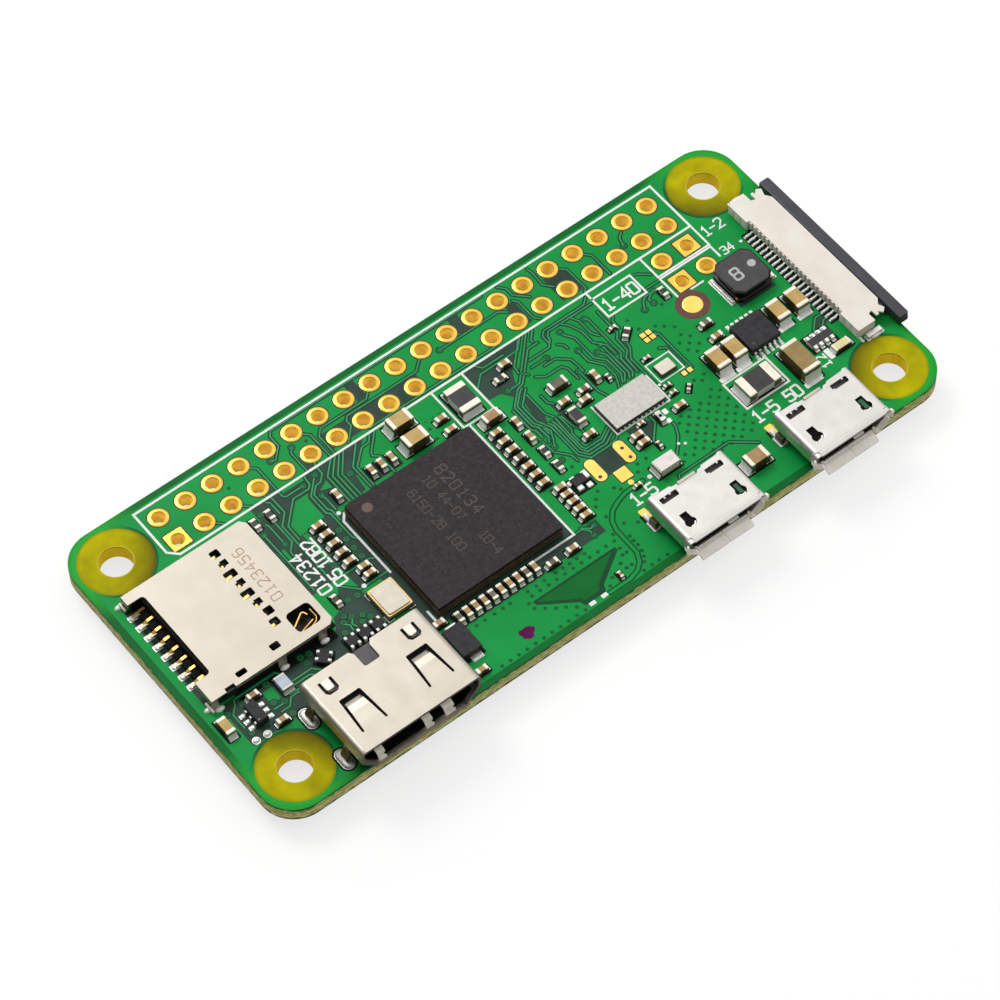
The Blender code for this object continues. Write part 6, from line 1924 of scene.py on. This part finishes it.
# end blocks: (x1, y0, y1, edge)
for x1, y0, y1, edge in ((30.5, -7.9, -7.15, 0.04), (32.05, -6.3, -5.6, 0.04),
                         (32.05, 5.8, 6.5, 0.04), (30.5, 7.35, 8.12, 0.04),
                         (30.5, -7.15, -6.3, 0.03), (30.5, 6.5, 7.35, 0.03)):
    housing.add(block(28.8, x1, y0, y1, 0.04, 0.94, edge), "cream_moulding")
housing.add(block(29.5, 32.05, -5.6, 5.8, 0.24, 0.35, 0.02), "cream_moulding")
for i in range(23):
    y = RIBBON_Y + (i - 11) * RIBBON_PITCH
    housing.add(prism(rect(29, 29.14, y - 0.12, y + 0.12), TOP + 0.3, TOP + 1.04),
                "cream_moulding")
housing.finish()

latch = look("ribbon_latch", "slate_moulding", "fpc_latch", body="latch")
bar = [(32.2, -8.9), (33.05, -8.9), (33.15, -8.75), (33.15, 8.2), (33.05, 8.35), (32.2, 8.35)]
latch.add(soften(prism(bar, TOP + 0.62, TOP + 1.06), 0.05, 2, 40), "slate_moulding", True)
for y0, y1 in ((-8.9, -6.05), (6.25, 8.35)):
    latch.add(block(32.2, 33.12, y0, y1, 0.12, 0.66, 0.05), "slate_moulding", True)
tongue = [[(x, -5.85, TOP + a), (x, 6.05, TOP + a), (x, 6.05, TOP + b), (x, -5.85, TOP + b)]
          for x, a, b in ((30.3, 0.68, 0.78), (31.2, 0.64, 0.86), (32.3, 0.64, 0.86))]
latch.add(rings_solid(tongue), "slate_moulding")
for y0, y1 in ((6.67, 7.18), (-6.98, -6.47)):
    latch.add(block(31.3, 32.4, y0, y1, 0.37, 0.73, 0.04), "slate_moulding", True)
latch.finish()

contacts = look("ribbon_contacts", "tin", "fpc_contacts")
# painted shadow under the contact pins
contacts.add(prism(rect(28.12, 29.1, -5.5, 5.7), BURIED, Z_BARE + 0.003), "part_margin")
path = bend([(28.32, 0.09), (28.85, 0.09), (29, 0.2), (29.35, 0.2), (31.4, 0.17)], 0.08)
for i in range(22):
    y = RIBBON_Y + (i - 10.5) * RIBBON_PITCH
    contacts.add(strip(path, 0.09, y - 0.085, y + 0.085, "y", 0.015), "solder", True)
    contacts.add(pad(28.18, 28.9, y - 0.105, y + 0.105, 0.04), "solder")
    contacts.add(dome(28.42, y, 0.02, 0.2, 0.1, 0.12, 8), "solder", True)
contacts.finish()

# (name, y0, y1, land y0, land y1, solder y)
for name, y0, y1, land_y0, land_y1, solder_y in (
        ("upper", 8.18, 8.75, 8.18, 8.85, 8.75), ("lower", -8.5, -7.98, -8.6, -7.98, -8.5)):
    anchor = look("ribbon_anchor_" + name, "tin", "fpc_anchor_" + name)
    anchor.add(block(29.4, 30.9, y0, y1, 0.03, 0.34, 0.08, 3), "tin_lead", True)
    anchor.add(pad(29.3, 31, land_y0, land_y1, 0.1, 3), "solder")
    anchor.add(dome(30.15, solder_y, 0.02, 0.6, 0.18, 0.2, 14), "solder", True)
    anchor.finish()

# ------------------------------------------------------------------ power inductor
COIL_X, COIL_Y = 25.45, 2.3


def octagon(half, cut):
    return chamfered(COIL_X - half, COIL_X + half, COIL_Y - half, COIL_Y + half, cut)


def octagon_solid(stations):
    """Solid through (height above the board, half width, corner cut) stations."""
    return rings_solid([[(x, y, TOP + height) for x, y in octagon(half, cut)]
                        for height, half, cut in stations])


inductor = look("inductor", "ferrite", "inductor_core")
inductor.add(octagon_solid(((0.09, 1.80, 0.45), (0.12, 1.85, 0.45), (0.33, 1.85, 0.45),
                            (0.36, 1.82, 0.47), (0.42, 1.62, 0.55))), "ferrite_side")
inductor.add(octagon_solid(((0.38, 1.55, 0.55), (0.98, 1.55, 0.55))), "ferrite_side", True)
inductor.add(octagon_solid(((0.92, 1.6, 0.55), (0.96, 1.80, 0.55), (1, 1.85, 0.55),
                            (1.13, 1.85, 0.55), (1.17, 1.82, 0.56), (1.195, 1.74, 0.56))),
             "ferrite_side", True)
inductor.add(prism(octagon(1.72, 0.55), TOP + 1.19, TOP + 1.2), "ferrite_top")
inductor.add(prism(circle(26.47, 2.46, 0.36, 24), TOP + 1.19, TOP + 1.206), "printed_dot")
numerals(inductor, "8", 24.5, 1.78, 1.12, "printed_dot", TOP + 1.195, TOP + 1.206, 0.2)
inductor.finish(30)
for s, name in ((-1, "left"), (1, "right")):
    terminal = look("inductor_terminal_" + name, "tin")
    # measured outwards from the coil centre: (inner end, outer end) of the metal and of its land
    x0, x1 = sorted((COIL_X + s * 1.9, COIL_X + s * 2.35))
    shorter, inward = (0.12, 0.02)
    metal = (x0, x1 - shorter) if s > 0 else (x0 + shorter, x1)
    seat = (x0, x1 - inward) if s > 0 else (x0 + inward, x1)
    terminal.add(block(*metal, COIL_Y - 1.45, COIL_Y + 1.45, 0.03, 0.26, 0.06, 3),
                 "tin_lead", True)
    terminal.add(pad(*seat, COIL_Y - 1.5, COIL_Y + 1.5, 0.08, 3), "solder")
    x = COIL_X + s * 1.72
    terminal.add(block(x - 0.09, x + 0.09, COIL_Y - 1.55, COIL_Y - 1.3, 0.1, 0.45, 0.04),
                 "copper_winding", True)
    terminal.finish()

# ------------------------------------------------------------------ regulator, radio, crystals
regulator = look("regulator", "chip_black", "regulator_chip")
regulator.add(block(21.25, 24.15, -3.98, -1.08, 0.1, 0.8, 0.05, foot=0.03), "chip_moulding")
regulator.add(prism(circle(21.75, -3.5, 0.14, 14), TOP + 0.795, TOP + 0.802), "package_marking")
regulator.finish()
for name, edge_y, s in (("lower", -3.98, -1), ("upper", -1.08, 1)):
    leads = look("regulator_leads_" + name, "tin")
    path = bend([(edge_y - s * 0.1, 0.3), (edge_y + s * 0.1, 0.3), (edge_y + s * 0.2, 0.08),
                 (edge_y + s * 0.46, 0.08)], 0.07)
    y0, y1 = sorted((edge_y + s * 0.02, edge_y + s * 0.62))
    for i in range(6):
        x = 22.7 + (i - 2.5) * 0.48
        leads.add(strip(path[::s], 0.08, x - 0.11, x + 0.11, "x", 0.015), "tin_lead", True)
        leads.add(pad(x - 0.15, x + 0.15, y0, y1, 0.04), "solder")
    leads.finish()

radio = look("radio", "lid_metal", "radio_chip")
# dark sides, painted shade
radio.add(block(8.35, 13.25, -3.05, -0.15, 0.03, 0.52, 0.02, corner=0.05), "radio_side")
radio.add(block(8.37, 13.23, -3.03, -0.17, 0.5, 0.55, 0.02, corner=0.05), "radio_lid")
for i in range(11):
    x = 8.7 + 0.42 * i
    for y in (-3.1, -0.1):
        radio.add(block(x - 0.09, x + 0.09, y - 0.05, y + 0.05, 0.02, 0.16, 0.02), "solder", True)
radio.finish()

crystal = look("radio_crystal_base", "crystal_ceramic")
crystal.add(block(14.32, 15.9, -1.22, -0.02, 0.03, 0.3, 0.03), "crystal_ceramic")
crystal.finish()
crystal = look("radio_crystal_lid", "lid_metal")
crystal.add(block(14.34, 15.88, -1.2, -0.04, 0.31, 0.36, 0.015, corner=0.1), "crystal_ceramic")
crystal.add(block(14.38, 15.84, -1.16, -0.08, 0.35, 0.415, 0.03, corner=0.1),
            "small_crystal_lid", True)
crystal.finish()
crystal = look("main_crystal_base", "crystal_ceramic")
crystal.add(block(-15.98, -13.52, -5.85, -2.8, 0.03, 0.45, 0.03, corner=0.08), "crystal_ceramic")
for x in (-15.75, -13.75):
    for y in (-5.55, -3.1):
        crystal.add(block(x - 0.28, x + 0.28, y - 0.35, y + 0.35, 0, 0.06, 0.02), "solder", True)
crystal.finish()
crystal = look("main_crystal_lid", "lid_metal")
crystal.add(block(-15.9, -13.6, -5.77, -2.88, 0.46, 0.53, 0.02, corner=0.16), "crystal_rim")
crystal.add(block(-15.78, -13.72, -5.65, -3, 0.52, 0.645, 0.05, corner=0.2), "crystal_lid", True)
crystal.finish()


# ------------------------------------------------------------------ small chips
def small_chip(name, node, x0, x1, y0, y1, height, flat_leads=(), corners=(), turn=0.0):
    """Small package with flat leads (x, y, width, length), or metal corners at (x, y)."""
    chip = look(name, "chip_black", node)
    centre = ((x0 + x1) / 2, (y0 + y1) / 2)

    def put(shape, finish_name, smooth=False):
        chip.add(moved(shape, turn=turn, about=centre), finish_name, smooth)

    put(block(x0, x1, y0, y1, 0.04, height, 0.04, foot=0.02), "chip_moulding")
    if flat_leads or corners:
        # painted shadow on the board round a chip with leads
        outline = round_rect(x0 - 0.14, x1 + 0.14, y0 - 0.3, y1 + 0.3, 0.1, 2)
        put(prism(outline, BURIED, Z_BARE + 0.003), "part_margin")
    else:
        put(prism(circle(x0 + 0.2, y0 + 0.2, 0.07, 10), TOP + height - 0.005,
                  TOP + height + 0.002), "chip_marking")
    for x, y in corners:
        put(block(x - 0.135, x + 0.135, y - 0.15, y + 0.15, 0.03, height + 0.03, 0.07, 3),
            "solder", True)
    for x, y, width, length in flat_leads:
        dx, dy = width / 2, length / 2
        put(block(x - dx, x + dx, y - dy, y + dy, 0.01, 0.09, 0.02), "tin_lead", True)
        put(pad(x - dx - 0.05, x + dx + 0.05, y - dy - 0.05, y + dy + 0.05, 0.03), "solder")
    chip.finish()


small_chip("video_diode", "hdmi_diode", -13.72, -11.95, -12.15, -9.4, 0.75,
           flat_leads=[(-12.62, -9.2, 0.9, 0.5), (-12.62, -12.35, 0.9, 0.5)])
for letter, cx in (("a", -19.25), ("b", -18.05), ("c", -16.85)):
    small_chip("esd_array_" + letter, None, cx - 0.5, cx + 0.5, -6.1, -5.15, 0.46,
               corners=[(x, y) for y in (-5.17, -6.05) for x in (cx - 0.33, cx + 0.33)])
small_chip("esd_array_d", None, -22.37, -21.13, -5.85, -4.85, 0.46, turn=math.radians(45),
           corners=[(x, y) for y in (-4.86, -5.84) for x in (-22.08, -21.42)])
small_chip("card_regulator", "sd_regulator", -29.15, -28.25, -7.2, -5.3, 0.85)

CARD_REGULATOR_X, CARD_REGULATOR_Y = -28.7, -6.25
leads = look("card_regulator_leads", "tin", "sd_regulator_leads")
for dy in (-0.62, 0, 0.62):
    y = CARD_REGULATOR_Y + dy
    for s in (-1, 1):
        path = bend([(CARD_REGULATOR_X + s * reach, height) for reach, height in (
            (0.4, 0.4), (0.56, 0.4), (0.66, 0.08), (0.96, 0.08))], 0.07)
        leads.add(strip(path[::-s], 0.08, y - 0.12, y + 0.12, "y", 0.015), "tin_lead", True)
        x0, x1 = sorted((CARD_REGULATOR_X + s * 0.6, CARD_REGULATOR_X + s * 1.1))
        leads.add(pad(x0, x1, y - 0.18, y + 0.18, 0.04), "solder")
leads.finish()

# ------------------------------------------------------------------ underside, kept generic
underside = Piece("board_underside", "board_green")
pour_holes = [circle(x, y, 1, 20) for x, y in HOLES] + [slot_loop(x, y, 0.35) for x, y in SLOTS]
underside.add(fill(pour_outline(0.5), pour_holes, -0.008, 0.003), "mask_underside")
for i in range(PIN_COUNT):
    x = FIRST_PIN_X + PIN_PITCH * i
    if i % 3 == 0:
        path = [(x, 9.3), (x + 0.9, 8.2), (x + 0.9, 4 - (i % 4))]
    elif i % 3 == 1:
        path = [(x, 9.3), (x - 0.5, 8.4), (x - 0.5, -2 + (i % 5)), (x + 1.5, -4 + (i % 5))]
    else:
        continue
    underside.add(track(path, 0.16, -0.016, 0), "mask_over_track")
scatter = random.Random(5)
for i in range(70):
    x, y = scatter.uniform(-24, 26), scatter.uniform(-12.5, 8)
    underside.add(annulus(x, y, 0.13, 0.28, -0.018, 0, 12), "mask_over_track")
    underside.add(prism(circle(x, y, 0.14, 10), -0.012, 0), "tented_hole")
for x, y in ((-6, 1.5), (-4.5, 1.5), (-9, 1.5), (8.4, -9.5), (10, -9.5), (21, -9.5), (22.6, -9.5),
             (14.5, -3), (2, -9)):
    underside.add(prism(circle(x, y, 0.55, 18), -0.024, 0), "gold_plating")
underside.finish()

# ------------------------------------------------------------------ floor (metres)
FLOOR_HALF, FLOOR_Z = 4.0, -0.0012
material = bpy.data.materials.new("pale_floor")
material.use_nodes = True
tree = material.node_tree
cloud = add_node(tree, "TexNoise", {"Scale": 3.0}).outputs["Fac"]
seen_colour = mix_colour(tree, cloud, (0.27, 0.27, 0.27, 1), (0.29, 0.29, 0.29, 1))
camera_ray = add_node(tree, "LightPath").outputs["Is Camera Ray"]
# the camera sees a lifted floor, while the board gets only a dim reflection of it
set_inputs(tree.nodes["Principled BSDF"], {
    "Base Color": mix_colour(tree, camera_ray, (0.22, 0.22, 0.22, 1), seen_colour),
    "Emission Color": (1, 1, 1, 1),
    "Emission Strength": math_node(tree, "MULTIPLY", camera_ray, 0.74),
    "Roughness": 0.8, "Specular IOR Level": 0.2})
mesh = bpy.data.meshes.new("floor")
corners = rect(-FLOOR_HALF, FLOOR_HALF, -FLOOR_HALF, FLOOR_HALF)
mesh.from_pydata([(x, y, FLOOR_Z) for x, y in corners], [], [(0, 1, 2, 3)])
mesh.materials.append(material)
linked_object("floor", mesh)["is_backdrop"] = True

# ------------------------------------------------------------------ world
BRIGHT_SIDE = Vector((0.55, 0.36, 0.76)).normalized()
world = bpy.data.worlds.new("studio")
bpy.context.scene.world = world
world.use_nodes = True
tree = world.node_tree
for node in list(tree.nodes):
    tree.nodes.remove(node)
output = add_node(tree, "OutputWorld")
direction = add_node(tree, "TexCoord").outputs["Generated"]
facing = add_node(tree, "VectorMath", {0: direction, 1: BRIGHT_SIDE}, operation="DOT_PRODUCT")
glow = map_range(tree, facing.outputs["Value"], -0.08, 0.95, 0.02, 1.12)
lighting = add_node(tree, "Background", {"Color": (1.0, 0.995, 0.985, 1), "Strength": glow})
backdrop = add_node(tree, "Background", {"Color": (1, 1, 1, 1), "Strength": 1.0})
shader = add_node(tree, "MixShader", {
    "Fac": add_node(tree, "LightPath").outputs["Is Camera Ray"],
    1: lighting.outputs["Background"], 2: backdrop.outputs["Background"]})
set_inputs(output, {"Surface": shader.outputs["Shader"]})

# ------------------------------------------------------------------ key light (metres)
KEY_PLACE = Vector((-0.02, 0.30, 0.36))
light = bpy.data.lights.new("key", "AREA")
light.shape = "DISK"
light.size = 0.22
light.energy = 0.95
light.color = (1.0, 0.99, 0.97)
key = bpy.data.objects.new("key", light)
key.location = KEY_PLACE
key.rotation_euler = (-KEY_PLACE).to_track_quat("-Z", "Y").to_euler()
bpy.context.scene.collection.objects.link(key)
key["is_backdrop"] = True

# ------------------------------------------------------------------ camera
# Rotation vector and shift (mm) that carry points measured from the middle of the component
# side into view axes: x to the right, y down, z away from the camera.
VIEW_TURN = Vector((2.4284, -0.8425, 0.2354))
VIEW_SHIFT = Vector((0.6379, -2.8478, 328.7222))
lens = bpy.data.cameras.new("camera")
lens.sensor_width = 36.0
lens.lens = 153.0315216
lens.clip_start = 0.01
lens.clip_end = 20.0
camera = linked_object("camera", lens)
turn = Matrix.Rotation(VIEW_TURN.length, 3, VIEW_TURN.normalized())
place = -(turn.transposed() @ VIEW_SHIFT)
axes = Matrix((turn[0], -turn[1], -turn[2])).transposed().to_4x4()
camera.matrix_world = Matrix.Translation(
    (place.x * MM, place.y * MM, (place.z + TOP) * MM)) @ axes
camera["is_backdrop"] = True
bpy.context.scene.camera = camera
bpy.context.scene.view_settings.view_transform = "Standard"
bpy.context.scene.view_settings.look = "None"


def plain(value):
    """Bounds as plain dictionaries, lists and floats."""
    if isinstance(value, dict):
        return {k: plain(v) for k, v in value.items()}
    if isinstance(value, (list, tuple, Vector)):
        return [plain(v) for v in value]
    return float(value)


{"cad": plain(START_BOUNDS), "looks": plain(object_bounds())}
